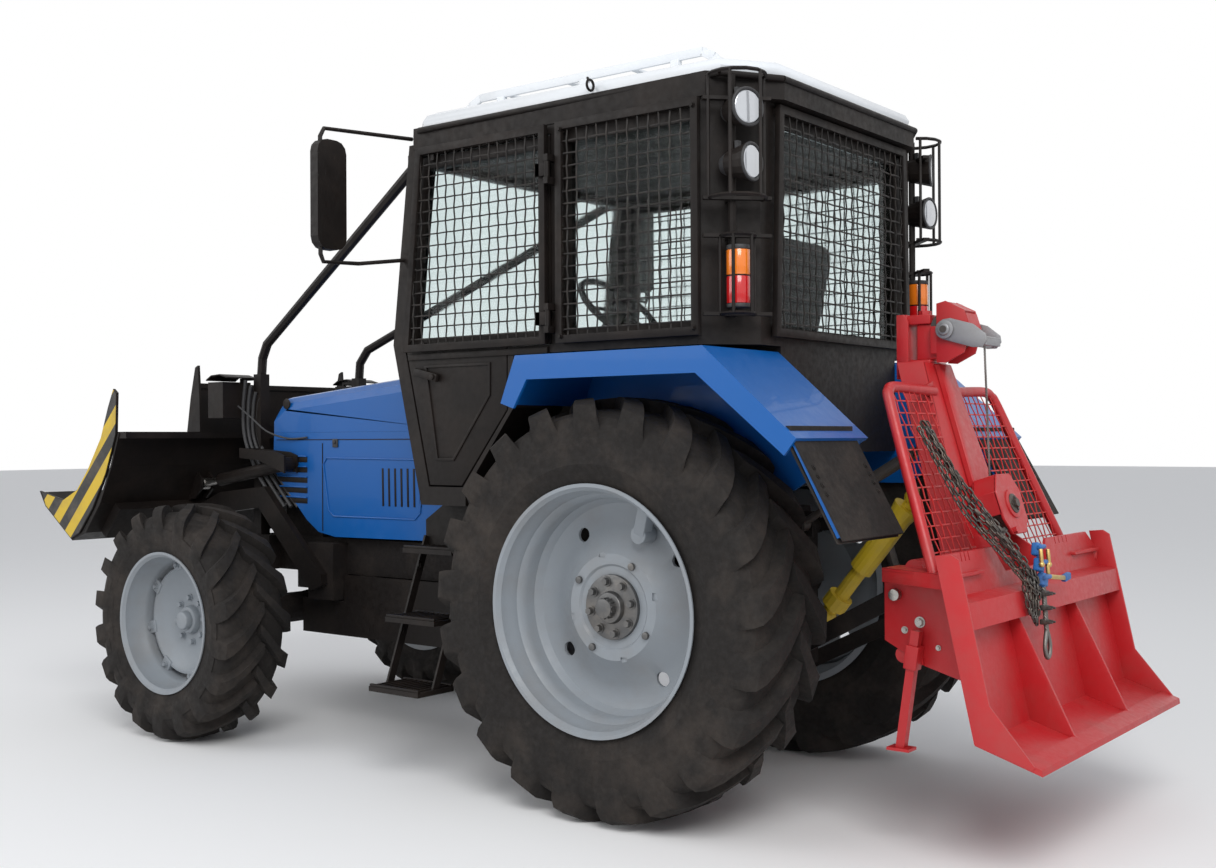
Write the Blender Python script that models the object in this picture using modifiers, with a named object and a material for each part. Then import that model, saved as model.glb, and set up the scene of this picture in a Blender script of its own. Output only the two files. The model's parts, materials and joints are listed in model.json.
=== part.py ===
"""Wheeled forestry skidder: a four-wheel-drive tractor with a caged cab, a front loading blade
and a cable winch with its own blade on the rear three-point hitch.

Metres, +X forward, +Y left, +Z up, ground at z = 0. Sizes along X are measured from the rear
axle; the root empty then centres the whole machine on the origin.
"""

import math

import bmesh
import bpy
from mathutils import Matrix, Vector

# Driving dimensions -----------------------------------------------------------------------
WHEELBASE = 2.45
REAR_TYRE_R, REAR_TYRE_W, REAR_TYRE_Y = 0.770, 0.430, 0.700
REAR_RIM_R, REAR_RIM_W = 0.457, 0.400
FRONT_TYRE_R, FRONT_TYRE_W, FRONT_TYRE_Y = 0.546, 0.360, 0.830
FRONT_RIM_R, FRONT_RIM_W = 0.328, 0.320
WHEEL_STEPS = 30
REAR_HUB_Y, FRONT_HUB_Y = 0.660, 0.800  # faces that the rim discs bolt to
KINGPIN_Y = 0.660
GAP = 0.0003  # between faces that touch
RUN = 0.006  # clearance round moving pieces

BLADE_TIP_X, WINCH_TIP_X = 3.555, -1.585  # ends of the whole machine
RAIL_Y, RAIL_W, RAIL_TOP, RAIL_H = 0.255, 0.070, 0.915, 0.170
RAIL_FRONT_X, RAIL_REAR_X = 2.520, 1.020
BELLY_Z, BELLY_Y = 0.455, 0.330

HOOD_Y, HOOD_REAR_X, HOOD_FRONT_X = 0.350, 1.185, 2.430
HOOD_CREASE_Z, HOOD_FRONT_TOP_Z, HOOD_REAR_TOP_Z = 1.425, 1.600, 1.705
HOOD_BOTTOM_Z = 0.925
SHEET = 0.020  # doubled sheet metal of hood and fenders

CAB_Y, CAB_LOW_Y, CAB_WALL = 0.750, 0.455, 0.050
CAB_TOP_Z, CAB_SILL_Z, CAB_FLOOR_Z, CAB_REAR_FLOOR_Z = 2.600, 1.715, 1.120, 1.330
CAB_STEP_X = 0.160  # where the floor steps up behind
CAB_REAR_X, CAB_BREAK_X = -0.540, 0.480  # rear wall, and where the narrow part behind ends
CAB_FRONT_TOP_X, CAB_FRONT_MID_X, CAB_FRONT_LOW_X = 1.050, 1.150, 0.990
CAB_MID_Z = 1.780
DOOR_REAR_X, DOOR_TOP_Z, DOOR_T = 0.285, 2.545, 0.045
DOOR_BOTTOM_Z = 1.195
DOOR_HINGE_X, DOOR_HINGE_Y, DOOR_HINGE_Z = 0.262, 0.802, (1.84, 2.40)
GUARD_T = 0.022
ROOF_Z, ROOF_TOP_Z = 2.665, 2.835

FENDER_TOP_Z, FENDER_Y1, FENDER_SKIRT = 1.695, 0.945, 0.090
FENDER_Y0 = CAB_LOW_Y + GAP

ARM_X, ARM_Z, ARM_Y, ARM_T = 2.050, 0.720, 0.400, 0.036  # front blade arm pivots
BLADE_Y, BLADE_T = 0.950, 0.012
CYL_X, CYL_Z, ROD_X, ROD_Z = 2.280, 1.270, 2.930, 1.165
CYL_R, ROD_R = 0.032, 0.018
POST_X, POST_Y, POST_W, POST_TOP = 2.560, 0.325, 0.055, 1.720

LINK_X, LINK_Z, LINK_Y = -0.210, 0.450, 0.290  # lower links: front pivots
PIN_X, PIN_Z, PIN_Y = -1.000, 0.857, 0.440  # lower links: winch pins
TOP_X, TOP_Z, TOP_END_X, TOP_END_Z = -0.360, 1.047, -0.960, 1.400
ROCK_X, ROCK_Z, ROCK_END_X, ROCK_END_Z, ROCK_Y = -0.220, 1.020, -0.500, 1.060, 0.360
PTO_X, PTO_Z, PTO_END_X, PTO_END_Z, PTO_BALL_R = -0.470, 0.700, -0.840, 1.160, 0.038

ROCK_R = 0.034

SHIELD_Y, SHIELD_T = 0.715, 0.010  # winch blade half width
SHIELD_TOP_X, SHIELD_TOP_Z, SHIELD_LOW_X, SHIELD_LOW_Z = -1.250, 1.015, -1.376, 0.443
LEG_FOOT_X, LEG_FOOT_Z, LEG_Y, LEG_LEAN, LEG_LENGTH = -1.030, 0.350, 0.512, 0.147, 0.400

SIDES = (("left", 1), ("right", -1))

# Scene ------------------------------------------------------------------------------------
for old in list(bpy.data.objects):
    bpy.data.objects.remove(old, do_unlink=True)


def new_collection(name):
    made = bpy.data.collections.new(name)
    bpy.context.scene.collection.children.link(made)
    return made


parts = new_collection("skidder")
cutters = new_collection("cutters")
root = bpy.data.objects.new("skidder_root", None)
root.location.x = -(BLADE_TIP_X + WINCH_TIP_X) / 2
parts.objects.link(root)

MATERIALS = {
    "tyre": ((0.020, 0.019, 0.018), 0.85, 0.0),
    "rim_paint": ((0.50, 0.55, 0.60), 0.45, 0.0),
    "blue_paint": ((0.010, 0.110, 0.500), 0.30, 0.0),
    "black_paint": ((0.018, 0.016, 0.015), 0.45, 0.0),
    "cast_black": ((0.020, 0.019, 0.018), 0.60, 0.0),
    "white_roof": ((0.80, 0.82, 0.84), 0.35, 0.0),
    "red_paint": ((0.500, 0.010, 0.012), 0.35, 0.0),
    "hazard_paint": ((0.850, 0.520, 0.010), 0.40, 0.0),
    "yellow_guard": ((0.700, 0.520, 0.020), 0.50, 0.0),
    "steel": ((0.45, 0.44, 0.42), 0.35, 1.0),
    "dark_steel": ((0.050, 0.042, 0.038), 0.50, 1.0),
    "rubber": ((0.022, 0.022, 0.022), 0.80, 0.0),
    "seat_cloth": ((0.030, 0.030, 0.032), 0.90, 0.0),
    "glass": ((0.60, 0.66, 0.66), 0.05, 0.0),
    "lamp_glass": ((0.85, 0.87, 0.88), 0.10, 0.0),
    "tail_lens": ((0.550, 0.020, 0.010), 0.20, 0.0),
    "orange_lens": ((0.850, 0.200, 0.010), 0.20, 0.0),
    "dark_plastic": ((0.030, 0.030, 0.032), 0.55, 0.0),
    "mirror_glass": ((0.70, 0.72, 0.74), 0.05, 1.0),
}


def material(name):
    made = bpy.data.materials.get(name)
    if made is None:
        colour, roughness, metallic = MATERIALS[name]
        made = bpy.data.materials.new(name)
        made.use_nodes = True
        shader = made.node_tree.nodes["Principled BSDF"]
        shader.inputs["Base Color"].default_value = (*colour, 1.0)
        shader.inputs["Roughness"].default_value = roughness
        shader.inputs["Metallic"].default_value = metallic
    return made


# Shapes -----------------------------------------------------------------------------------
def mesh_object(name, bm):
    bmesh.ops.recalc_face_normals(bm, faces=bm.faces)
    mesh = bpy.data.meshes.new(name)
    bm.to_mesh(mesh)
    bm.free()
    made = bpy.data.objects.new(name, mesh)
    parts.objects.link(made)
    made.parent = root
    return made


def box(x, y, z):
    """A block between two numbers on each axis."""
    bm = bmesh.new()
    bmesh.ops.create_cube(bm, size=1.0)
    sides = Vector((x[1] - x[0], y[1] - y[0], z[1] - z[0]))
    centre = Vector((x[0] + x[1], y[0] + y[1], z[0] + z[1])) / 2
    bmesh.ops.scale(bm, vec=sides, verts=bm.verts)
    bmesh.ops.translate(bm, vec=centre, verts=bm.verts)
    return mesh_object("box", bm)


def along(start, end):
    """The matrix that carries the Z axis from the origin onto the middle of start-end."""
    way = Vector(end) - Vector(start)
    turn = way.to_track_quat("Z", "Y").to_matrix().to_4x4()
    return Matrix.Translation((Vector(start) + Vector(end)) / 2) @ turn


def rod(start, end, radius, sides=12, end_radius=None):
    """A round bar or cone between two points."""
    bm = bmesh.new()
    last = radius if end_radius is None else end_radius
    length = (Vector(end) - Vector(start)).length
    bmesh.ops.create_cone(
        bm, cap_ends=True, segments=sides, radius1=radius, radius2=last, depth=length,
        matrix=along(start, end),
    )
    return mesh_object("rod", bm)


def beam(start, end, width, height):
    """A square-ended bar between two points; width lies along Y for a bar in a fore-aft plane."""
    bm = bmesh.new()
    bmesh.ops.create_cube(bm, size=1.0)
    length = (Vector(end) - Vector(start)).length
    bmesh.ops.scale(bm, vec=(height, width, length), verts=bm.verts)
    way = (Vector(end) - Vector(start)).normalized()
    side = Vector((0, 1, 0)) if abs(way.y) < 0.9 else Vector((1, 0, 0))
    up = way.cross(side).normalized()
    side = up.cross(way)
    turn = Matrix((up, side, way)).transposed().to_4x4()
    middle = Matrix.Translation((Vector(start) + Vector(end)) / 2)
    bmesh.ops.transform(bm, matrix=middle @ turn, verts=bm.verts)
    return mesh_object("beam", bm)


def ball(centre, radius):
    """A round knob."""
    bm = bmesh.new()
    bmesh.ops.create_uvsphere(bm, u_segments=12, v_segments=8, radius=radius)
    bmesh.ops.translate(bm, vec=Vector(centre), verts=bm.verts)
    return mesh_object("ball", bm)


def to_mesh(curve_object):
    """Turns a curve into a welded mesh object and removes the curve."""
    bpy.context.view_layer.update()
    graph = bpy.context.evaluated_depsgraph_get()
    mesh = bpy.data.meshes.new_from_object(curve_object.evaluated_get(graph))
    bm = bmesh.new()
    bm.from_mesh(mesh)
    bmesh.ops.remove_doubles(bm, verts=bm.verts, dist=1e-5)
    bmesh.ops.transform(bm, matrix=curve_object.matrix_world, verts=bm.verts)
    bpy.data.objects.remove(curve_object, do_unlink=True)
    return mesh_object("shape", bm)


def tube(points, radius, cyclic=False, resolution=1):
    """A round bar bent along a line of points."""
    curve = bpy.data.curves.new("tube", "CURVE")
    curve.dimensions = "3D"
    curve.bevel_depth = radius
    curve.bevel_resolution = resolution
    curve.use_fill_caps = True
    spline = curve.splines.new("POLY")
    spline.points.add(len(points) - 1)
    for point, place in zip(spline.points, points):
        point.co = (*place, 1.0)
    spline.use_cyclic_u = cyclic
    made = bpy.data.objects.new("tube", curve)
    parts.objects.link(made)
    return to_mesh(made)


# Where a flat outline's first and second coordinates and its thickness go.
PLANES = {
    "xz": Matrix(((1, 0, 0, 0), (0, 0, -1, 0), (0, 1, 0, 0), (0, 0, 0, 1))),
    "yz": Matrix(((0, 0, 1, 0), (1, 0, 0, 0), (0, 1, 0, 0), (0, 0, 0, 1))),
    "xy": Matrix.Identity(4),
}
THICKNESS_AXIS = {"xz": 1, "yz": 0, "xy": 2}


def plate(plane, outlines, low, high):
    """A flat sheet with one outline, and any holes, spanning low to high across its plane."""
    curve = bpy.data.curves.new("plate", "CURVE")
    curve.dimensions = "2D"
    curve.fill_mode = "BOTH"
    curve.extrude = (high - low) / 2
    for outline in outlines:
        spline = curve.splines.new("POLY")
        spline.points.add(len(outline) - 1)
        for point, (first, second) in zip(spline.points, outline):
            point.co = (first, second, 0.0, 1.0)
        spline.use_cyclic_u = True
    made = bpy.data.objects.new("plate", curve)
    parts.objects.link(made)
    shift = Vector((0, 0, 0))
    shift[THICKNESS_AXIS[plane]] = (low + high) / 2
    made.matrix_world = Matrix.Translation(shift) @ PLANES[plane]
    return to_mesh(made)


def strip(outline, thickness):
    """The outline of a bent sheet: a line of points and its copy, thickness below it."""
    inner = []
    for i, (x, z) in enumerate(outline):
        before = Vector(outline[max(i - 1, 0)])
        after = Vector(outline[min(i + 1, len(outline) - 1)])
        here = Vector((x, z))
        ways = [w.normalized() for w in (here - before, after - here) if w.length > 0]
        normal = sum((Vector((-w.y, w.x)) for w in ways), Vector((0, 0))).normalized()
        lean = normal.dot(Vector((-ways[0].y, ways[0].x)))
        inner.append(tuple(here + normal * thickness / lean))
    return list(outline) + inner[::-1]


def turned(profile, steps, axis_y=1, centre=(0, 0, 0)):
    """A closed (radius, offset) profile turned round a line along Y, offsets toward axis_y."""
    ring = [Vector(p) for p in profile]
    area = sum(a.x * b.y - b.x * a.y for a, b in zip(ring, ring[1:] + ring[:1]))
    if area > 0:
        ring.reverse()
    bm = bmesh.new()
    points = [bm.verts.new((r, 0, offset)) for r, offset in ring]
    for a, b in zip(points, points[1:] + points[:1]):
        if a.co.x > 1e-6 or b.co.x > 1e-6:
            bm.edges.new((a, b))
    mesh = bpy.data.meshes.new("turned")
    bm.to_mesh(mesh)
    bm.free()
    made = bpy.data.objects.new("turned", mesh)
    parts.objects.link(made)
    made.parent = root
    screw = made.modifiers.new("turn", "SCREW")
    screw.axis = "Z"
    screw.steps = screw.render_steps = steps
    screw.use_merge_vertices = True
    screw.merge_threshold = 0.0001
    made.rotation_euler.x = -axis_y * math.pi / 2
    made.location = centre
    return made


def boolean(base, other, operation):
    """Joins another shape to the base, or cuts it away, and files it with the cutters."""
    parts.objects.unlink(other)
    cutters.objects.link(other)
    other.hide_render = True
    other.display_type = "WIRE"
    modifier = base.modifiers.new(operation.lower(), "BOOLEAN")
    modifier.operation = operation
    modifier.object = other
    return base


def join(base, *others):
    for other in others:
        boolean(base, other, "UNION")
    return base


def cut(base, *others):
    for other in others:
        boolean(base, other, "DIFFERENCE")
    return base


def node(name, shape, finish, pivot=None):
    """Names a finished shape, and puts its origin on its joint's axis."""
    shape.name = name
    shape.data.name = name
    shape.data.materials.clear()
    shape.data.materials.append(material(finish))
    if pivot is not None and shape.location.length == 0:
        shape.data.transform(Matrix.Translation(-Vector(pivot)))
        shape.location = pivot
    return shape


def bevel_edges(shape, chosen, width, segments=3):
    """Rounds the edges whose middle point passes the test chosen."""
    bm = bmesh.new()
    bm.from_mesh(shape.data)
    edges = [e for e in bm.edges if chosen((e.verts[0].co + e.verts[1].co) / 2)]
    bmesh.ops.bevel(
        bm, geom=edges, offset=width, offset_type="OFFSET", segments=segments,
        profile=0.5, affect="EDGES",
    )
    bm.to_mesh(shape.data)
    bm.free()
    return shape


# Wheels -----------------------------------------------------------------------------------
def tyre_profile(radius, width, rim_radius):
    """Half profile offsets run both ways from the tyre's middle: tread, shoulders, beads."""
    half = width / 2
    seat = rim_radius - 0.018
    right = [
        (radius, 0.0), (radius - 0.006, half * 0.55), (radius - 0.030, half * 0.88),
        (radius - 0.085, half * 0.985), ((radius + rim_radius) / 2, half),
        (rim_radius + 0.045, half * 0.93), (rim_radius + 0.004, half * 0.84),
        (seat, half * 0.80),
    ]
    return right + [(r, -offset) for r, offset in right[:0:-1]]


def rim_profile(radius, width, tyre_width, disc):
    """Outer flange, bead seat, well and inner flange, then the disc from its hub face outward."""
    half = tyre_width * 0.42
    flange = width / 2
    seat = radius - 0.018 - GAP
    return [
        (0.0, disc), (radius * 0.46, disc), (radius * 0.50, disc - 0.03),
        (radius * 0.86, disc - 0.03), (radius - 0.055, -0.02), (radius - 0.050, -flange + 0.02),
        (seat - 0.012, -flange), (radius, -flange), (radius, -half - 0.001), (seat, -half),
        (seat, -0.06), (radius - 0.038, -0.04), (radius - 0.038, 0.04), (seat, 0.06),
        (seat, half), (radius, half + 0.001), (radius, flange), (seat - 0.012, flange),
        (radius - 0.045, 0.03), (radius * 0.86, disc + 0.0), (radius * 0.60, disc + 0.0),
        (radius * 0.52, disc + 0.035), (0.0, disc + 0.035),
    ]


def make_wheels():
    rows = (
        ("rear", 0.0, REAR_TYRE_R, REAR_TYRE_W, REAR_TYRE_Y, REAR_RIM_R, REAR_RIM_W, REAR_HUB_Y),
        ("front", WHEELBASE, FRONT_TYRE_R, FRONT_TYRE_W, FRONT_TYRE_Y, FRONT_RIM_R, FRONT_RIM_W,
         FRONT_HUB_Y),
    )
    for end, x, radius, width, y, rim_radius, rim_width, hub_y in rows:
        for side, sign in SIDES:
            centre = (x, sign * y, radius)
            tyre = turned(tyre_profile(radius, width, rim_radius), WHEEL_STEPS, sign, centre)
            node(f"{end}_tyre_{side}", tyre, "tyre")
            disc = hub_y - y + GAP
            profile = rim_profile(rim_radius, rim_width, width, disc)
            node(f"{end}_rim_{side}", turned(profile, WHEEL_STEPS, sign, centre), "rim_paint")


# Chassis ----------------------------------------------------------------------------------
def make_chassis():
    rails = []
    for _, sign in SIDES:
        inner, outer = sorted((sign * (RAIL_Y - RAIL_W / 2), sign * (RAIL_Y + RAIL_W / 2)))
        rails.append(box((RAIL_REAR_X, RAIL_FRONT_X), (inner, outer), (RAIL_TOP - RAIL_H, RAIL_TOP)))
        inner, outer = sorted((sign * (RAIL_Y + RAIL_W / 2 - 0.01), sign * (ARM_Y - ARM_T / 2 - GAP)))
        rails.append(box((ARM_X - 0.09, ARM_X + 0.09), (inner, outer), (0.625, RAIL_TOP - 0.02)))
    nose = box((RAIL_FRONT_X - 0.06, POST_X + 0.04), (-0.36, 0.36), (RAIL_TOP - RAIL_H, RAIL_TOP))
    pivot_block = box((2.33, 2.57), (-0.09, 0.09), (0.628, RAIL_TOP - 0.05))
    cross = box((2.20, 2.33), (-RAIL_Y, RAIL_Y), (RAIL_TOP - RAIL_H + 0.01, RAIL_TOP - 0.02))
    reach = HOOD_Y - SHEET - GAP
    radiator = box((2.15, 2.34), (-0.28, 0.28), (RAIL_TOP - 0.05, 1.40))
    grille = box((HOOD_FRONT_X - 0.03, HOOD_FRONT_X - 0.008), (-reach, reach), (1.14, 1.40))
    lower = box((2.32, HOOD_FRONT_X - 0.008), (-0.28, 0.28), (RAIL_TOP - 0.05, 1.15))
    join(nose, *rails, pivot_block, cross, radiator, grille, lower)
    node("front_frame", nose, "cast_black")

    node("engine_block", box((1.16, 2.06), (-0.205, 0.205), (0.62, 1.38)), "cast_black")

    clutch = box((0.40, 1.16 - GAP), (-0.205, 0.205), (0.55, 1.02))
    gearbox = box((-0.30, 0.45), (-0.235, 0.235), (0.47, 1.04))
    axle = rod((0, -REAR_HUB_Y, REAR_TYRE_R), (0, REAR_HUB_Y, REAR_TYRE_R), 0.085, 20)
    sleeves = rod((0, -0.53, REAR_TYRE_R), (0, 0.53, REAR_TYRE_R), 0.130, 16)
    lift_box = box((-0.31, 0.06), (-0.16, 0.16), (0.98, 1.115))
    pto_stub = rod((-0.290, 0, PTO_Z), (PTO_X + PTO_BALL_R + 0.0005, 0, PTO_Z), 0.030, 12)
    top_ears = [box((TOP_X - 0.03, -0.29), (y, y + 0.018), (TOP_Z - 0.05, TOP_Z + 0.05))
                for y in (-0.048, 0.030)]
    low_ears = [box((LINK_X - 0.04, LINK_X + 0.06), sorted((s * 0.22, s * 0.262)), (0.40, 0.56))
                for _, s in SIDES]
    mounts = [box((RAIL_REAR_X - 0.02, 1.15), sorted((s * 0.19, s * (RAIL_Y - 0.036))), (0.76, 0.90))
              for _, s in SIDES]
    pads = [box((0.56, 0.68), (-0.19, 0.19), (1.00, CAB_FLOOR_Z - GAP))]
    pads += [box((-0.12, 0.02), sorted((s * 0.18, s * 0.24)), (0.90, CAB_REAR_FLOOR_Z - GAP)) for _, s in SIDES]
    shaft = rod((0.70, 0.0, 0.52), (2.32, 0.0, 0.535), 0.028, 10)
    join(gearbox, clutch, axle, sleeves, lift_box, pto_stub, shaft, *top_ears, *low_ears, *mounts, *pads)
    bore = rod((ROCK_X, -0.30, ROCK_Z), (ROCK_X, 0.30, ROCK_Z), ROCK_R + 0.0009, 20)
    node("transmission_housing", cut(gearbox, bore), "cast_black")

    outline = [(0.95, BELLY_Z), (2.24, BELLY_Z), (2.24, 0.62), (1.94, 0.62),
               (1.94, RAIL_TOP - RAIL_H - GAP), (1.00, RAIL_TOP - RAIL_H - GAP), (0.95, 0.60)]
    pan = plate("xz", [outline], -BELLY_Y, BELLY_Y)
    hollow = box((0.40, 2.30), (-BELLY_Y + 0.012, BELLY_Y - 0.012), (BELLY_Z + 0.012, 1.0))
    tabs = [box((x - 0.05, x + 0.05), sorted((s * (RAIL_Y - 0.02), s * (BELLY_Y - 0.004))),
                (RAIL_TOP - RAIL_H - 0.012, RAIL_TOP - RAIL_H - GAP)) for x in (1.15, 1.80) for _, s in SIDES]
    node("belly_guard", join(cut(pan, hollow), *tabs), "black_paint")


def make_front_axle():
    beam_tube = rod((WHEELBASE, -0.575, FRONT_TYRE_R), (WHEELBASE, 0.575, FRONT_TYRE_R), 0.075, 14)
    bulge = rod((WHEELBASE, -0.13, FRONT_TYRE_R), (WHEELBASE, 0.13, FRONT_TYRE_R), 0.079, 14)
    pinion = rod((WHEELBASE - 0.125, 0, FRONT_TYRE_R - 0.008), (WHEELBASE, 0, FRONT_TYRE_R), 0.06, 12)
    forks = [box((WHEELBASE - 0.05, WHEELBASE + 0.05), sorted((s * 0.55, s * 0.71)),
                 (FRONT_TYRE_R + d - 0.0125, FRONT_TYRE_R + d + 0.0125))
             for _, s in SIDES for d in (-0.105, 0.105)]
    webs = [box((WHEELBASE - 0.05, WHEELBASE + 0.05), sorted((s * 0.55, s * 0.575)),
                (FRONT_TYRE_R - 0.115, FRONT_TYRE_R + 0.115)) for _, s in SIDES]
    cradle = box((WHEELBASE - 0.04, WHEELBASE + 0.04), (-0.06, 0.06), (FRONT_TYRE_R, 0.628 - GAP))
    join(beam_tube, bulge, pinion, cradle, *webs, *forks)
    node("front_axle", beam_tube, "cast_black")
    for side, sign in SIDES:
        pin = (WHEELBASE, sign * KINGPIN_Y, FRONT_TYRE_R)
        body = rod((WHEELBASE, sign * KINGPIN_Y, FRONT_TYRE_R - 0.092),
                   (WHEELBASE, sign * KINGPIN_Y, FRONT_TYRE_R + 0.092), 0.045, 14)
        hub = rod(pin, (WHEELBASE, sign * FRONT_HUB_Y, FRONT_TYRE_R), 0.062, 16)
        arm = beam((WHEELBASE, sign * KINGPIN_Y, FRONT_TYRE_R),
                   (WHEELBASE - 0.17, sign * KINGPIN_Y, FRONT_TYRE_R), 0.03, 0.03)
        node(f"knuckle_{side}", join(body, hub, arm), "cast_black", pin)


def make_hood():
    crown = [(HOOD_REAR_X, HOOD_CREASE_Z), (HOOD_FRONT_X, HOOD_CREASE_Z),
             (HOOD_FRONT_X, HOOD_FRONT_TOP_Z - 0.05), (HOOD_FRONT_X - 0.06, HOOD_FRONT_TOP_Z),
             (HOOD_REAR_X, HOOD_REAR_TOP_Z)]
    lid = plate("xz", [crown], -HOOD_Y, HOOD_Y)
    long_top = lambda p: abs(abs(p.y) - HOOD_Y) < 1e-4 and p.z > HOOD_CREASE_Z + 0.09
    bevel_edges(lid, long_top, 0.07)
    inside = [(HOOD_REAR_X + SHEET, HOOD_CREASE_Z - 0.1), (HOOD_FRONT_X - SHEET, HOOD_CREASE_Z - 0.1),
              (HOOD_FRONT_X - SHEET, HOOD_FRONT_TOP_Z - 0.06),
              (HOOD_FRONT_X - 0.065, HOOD_FRONT_TOP_Z - SHEET),
              (HOOD_REAR_X + SHEET, HOOD_REAR_TOP_Z - SHEET - 0.005)]
    hollow = plate("xz", [inside], -HOOD_Y + SHEET, HOOD_Y - SHEET)
    bevel_edges(hollow, lambda p: abs(abs(p.y) - HOOD_Y + SHEET) < 1e-4 and p.z > HOOD_CREASE_Z + 0.08,
                0.06)
    hinge = (HOOD_REAR_X, 0.0, HOOD_REAR_TOP_Z - 0.03)
    node("hood_lid", cut(lid, hollow), "blue_paint", hinge)
    top = HOOD_CREASE_Z - 2 * GAP
    side = [(HOOD_REAR_X, top), (HOOD_FRONT_X, top), (2.440, 1.240), (2.185, 1.000),
            (2.100, 0.945), (1.980, HOOD_BOTTOM_Z), (HOOD_REAR_X, HOOD_BOTTOM_Z + 0.008)]
    for name, sign in SIDES:
        low, high = sorted((sign * (HOOD_Y - SHEET), sign * HOOD_Y))
        node(f"hood_side_{name}", plate("xz", [side], low, high), "blue_paint")


# Cab --------------------------------------------------------------------------------------
def cab_outline(inset):
    """The cab's side outline, moved inward by inset, floor to roof."""
    return [(CAB_REAR_X + inset, CAB_REAR_FLOOR_Z + inset), (CAB_STEP_X + inset, CAB_REAR_FLOOR_Z + inset),
            (CAB_STEP_X + inset, CAB_FLOOR_Z + inset), (CAB_FRONT_LOW_X - inset, CAB_FLOOR_Z + inset),
            (CAB_FRONT_MID_X - inset, CAB_MID_Z), (CAB_FRONT_TOP_X - inset, CAB_TOP_Z - inset),
            (CAB_REAR_X + inset, CAB_TOP_Z - inset)]


def door_outline(inset):
    """The door's outline: narrow below, where the fender is, and wide at the window."""
    return [(DOOR_REAR_X + inset, CAB_SILL_Z + 0.03 + inset), (0.510 + inset, CAB_SILL_Z + 0.03 + inset),
            (0.510 + inset, 1.500 + inset / 2), (0.755 + inset, DOOR_BOTTOM_Z + inset),
            (0.945 - inset, DOOR_BOTTOM_Z + inset),
            (1.085 - inset, CAB_MID_Z), (0.992 - inset, DOOR_TOP_Z - inset),
            (DOOR_REAR_X + inset, DOOR_TOP_Z - inset)]


def window_outline():
    return [(0.335, 1.800), (1.020, 1.800), (0.948, 2.490), (0.335, 2.490)]


REAR_WINDOW_Y, REAR_WINDOW_Z = 0.455, (1.785, 2.500)
SIDE_WINDOW_X, SIDE_WINDOW_Z = (-0.370, 0.205), (1.800, 2.500)
SHIELD_WINDOW_Y, SHIELD_WINDOW_Z = 0.640, (1.740, 2.520)
REAR_CHAMFER = 0.16


def chamfer_wedge(sign, inset):
    """The rear upright corner that is cut away, as a plan triangle."""
    reach = REAR_CHAMFER + 0.10
    corner_x, corner_y = CAB_REAR_X + inset, sign * (CAB_Y - inset)
    outline = [(corner_x - 0.10, corner_y - sign * REAR_CHAMFER),
               (corner_x, corner_y - sign * REAR_CHAMFER),
               (corner_x + REAR_CHAMFER, corner_y), (corner_x + REAR_CHAMFER, corner_y + sign * 0.10),
               (corner_x - 0.10, corner_y + sign * 0.10)]
    return plate("xy", [outline], CAB_FLOOR_Z - reach, CAB_TOP_Z + reach)


def cab_solid(inset):
    """The cab's outer shape, or the space inside it when inset by the wall."""
    shell = plate("xz", [cab_outline(inset)], -CAB_Y + inset, CAB_Y - inset)
    for _, sign in SIDES:
        low, high = sorted((sign * (CAB_LOW_Y - inset), sign * (CAB_Y + 0.1)))
        arch = [(CAB_REAR_X - 0.1, 1.00), (0.740 + inset, 1.00), (0.740 + inset, 1.180 + inset / 2),
                (CAB_BREAK_X + inset, 1.510 + inset / 2), (CAB_BREAK_X + inset, CAB_SILL_Z + inset),
                (CAB_REAR_X - 0.1, CAB_SILL_Z + inset)]
        cut(shell, plate("xz", [arch], low, high))
        cut(shell, chamfer_wedge(sign, inset))
    return shell


def apply_modifiers(shape):
    """Fixes a shape's modifiers into its mesh, so that it can cut another shape."""
    bpy.context.view_layer.update()
    graph = bpy.context.evaluated_depsgraph_get()
    mesh = bpy.data.meshes.new_from_object(shape.evaluated_get(graph))
    shape.modifiers.clear()
    shape.data = mesh
    return shape


def make_cab():
    shell = cab_solid(0.0)
    cut(shell, apply_modifiers(cab_solid(CAB_WALL)))
    cut(shell, plate("xz", [door_outline(0.0)], -CAB_Y - 0.2, CAB_Y + 0.2))
    cut(shell, box(SIDE_WINDOW_X, (-CAB_Y - 0.2, CAB_Y + 0.2), SIDE_WINDOW_Z))
    cut(shell, box((CAB_REAR_X - 0.2, CAB_REAR_X + 0.2), (-REAR_WINDOW_Y, REAR_WINDOW_Y), REAR_WINDOW_Z))
    cut(shell, box((0.85, 1.40), (-SHIELD_WINDOW_Y, SHIELD_WINDOW_Y), SHIELD_WINDOW_Z))
    plan = [(-0.60, 0.52), (-0.42, 0.755), (1.02, 0.755), (1.14, 0.64)]
    plan += [(x, -y) for x, y in reversed(plan)]
    join(shell, plate("xy", [plan], CAB_TOP_Z - 0.02, ROOF_Z))
    for _, sign in SIDES:
        for z in DOOR_HINGE_Z:
            for low in (z - 0.055, z + 0.0306):
                shell = join(shell, box((DOOR_HINGE_X - 0.011, DOOR_HINGE_X + 0.011),
                                        sorted((sign * (CAB_Y - 0.01), sign * (DOOR_HINGE_Y + 0.010))),
                                        (low, low + 0.0244)))
    node("cab_shell", shell, "black_paint")


GLASS_T = 0.006


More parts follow.
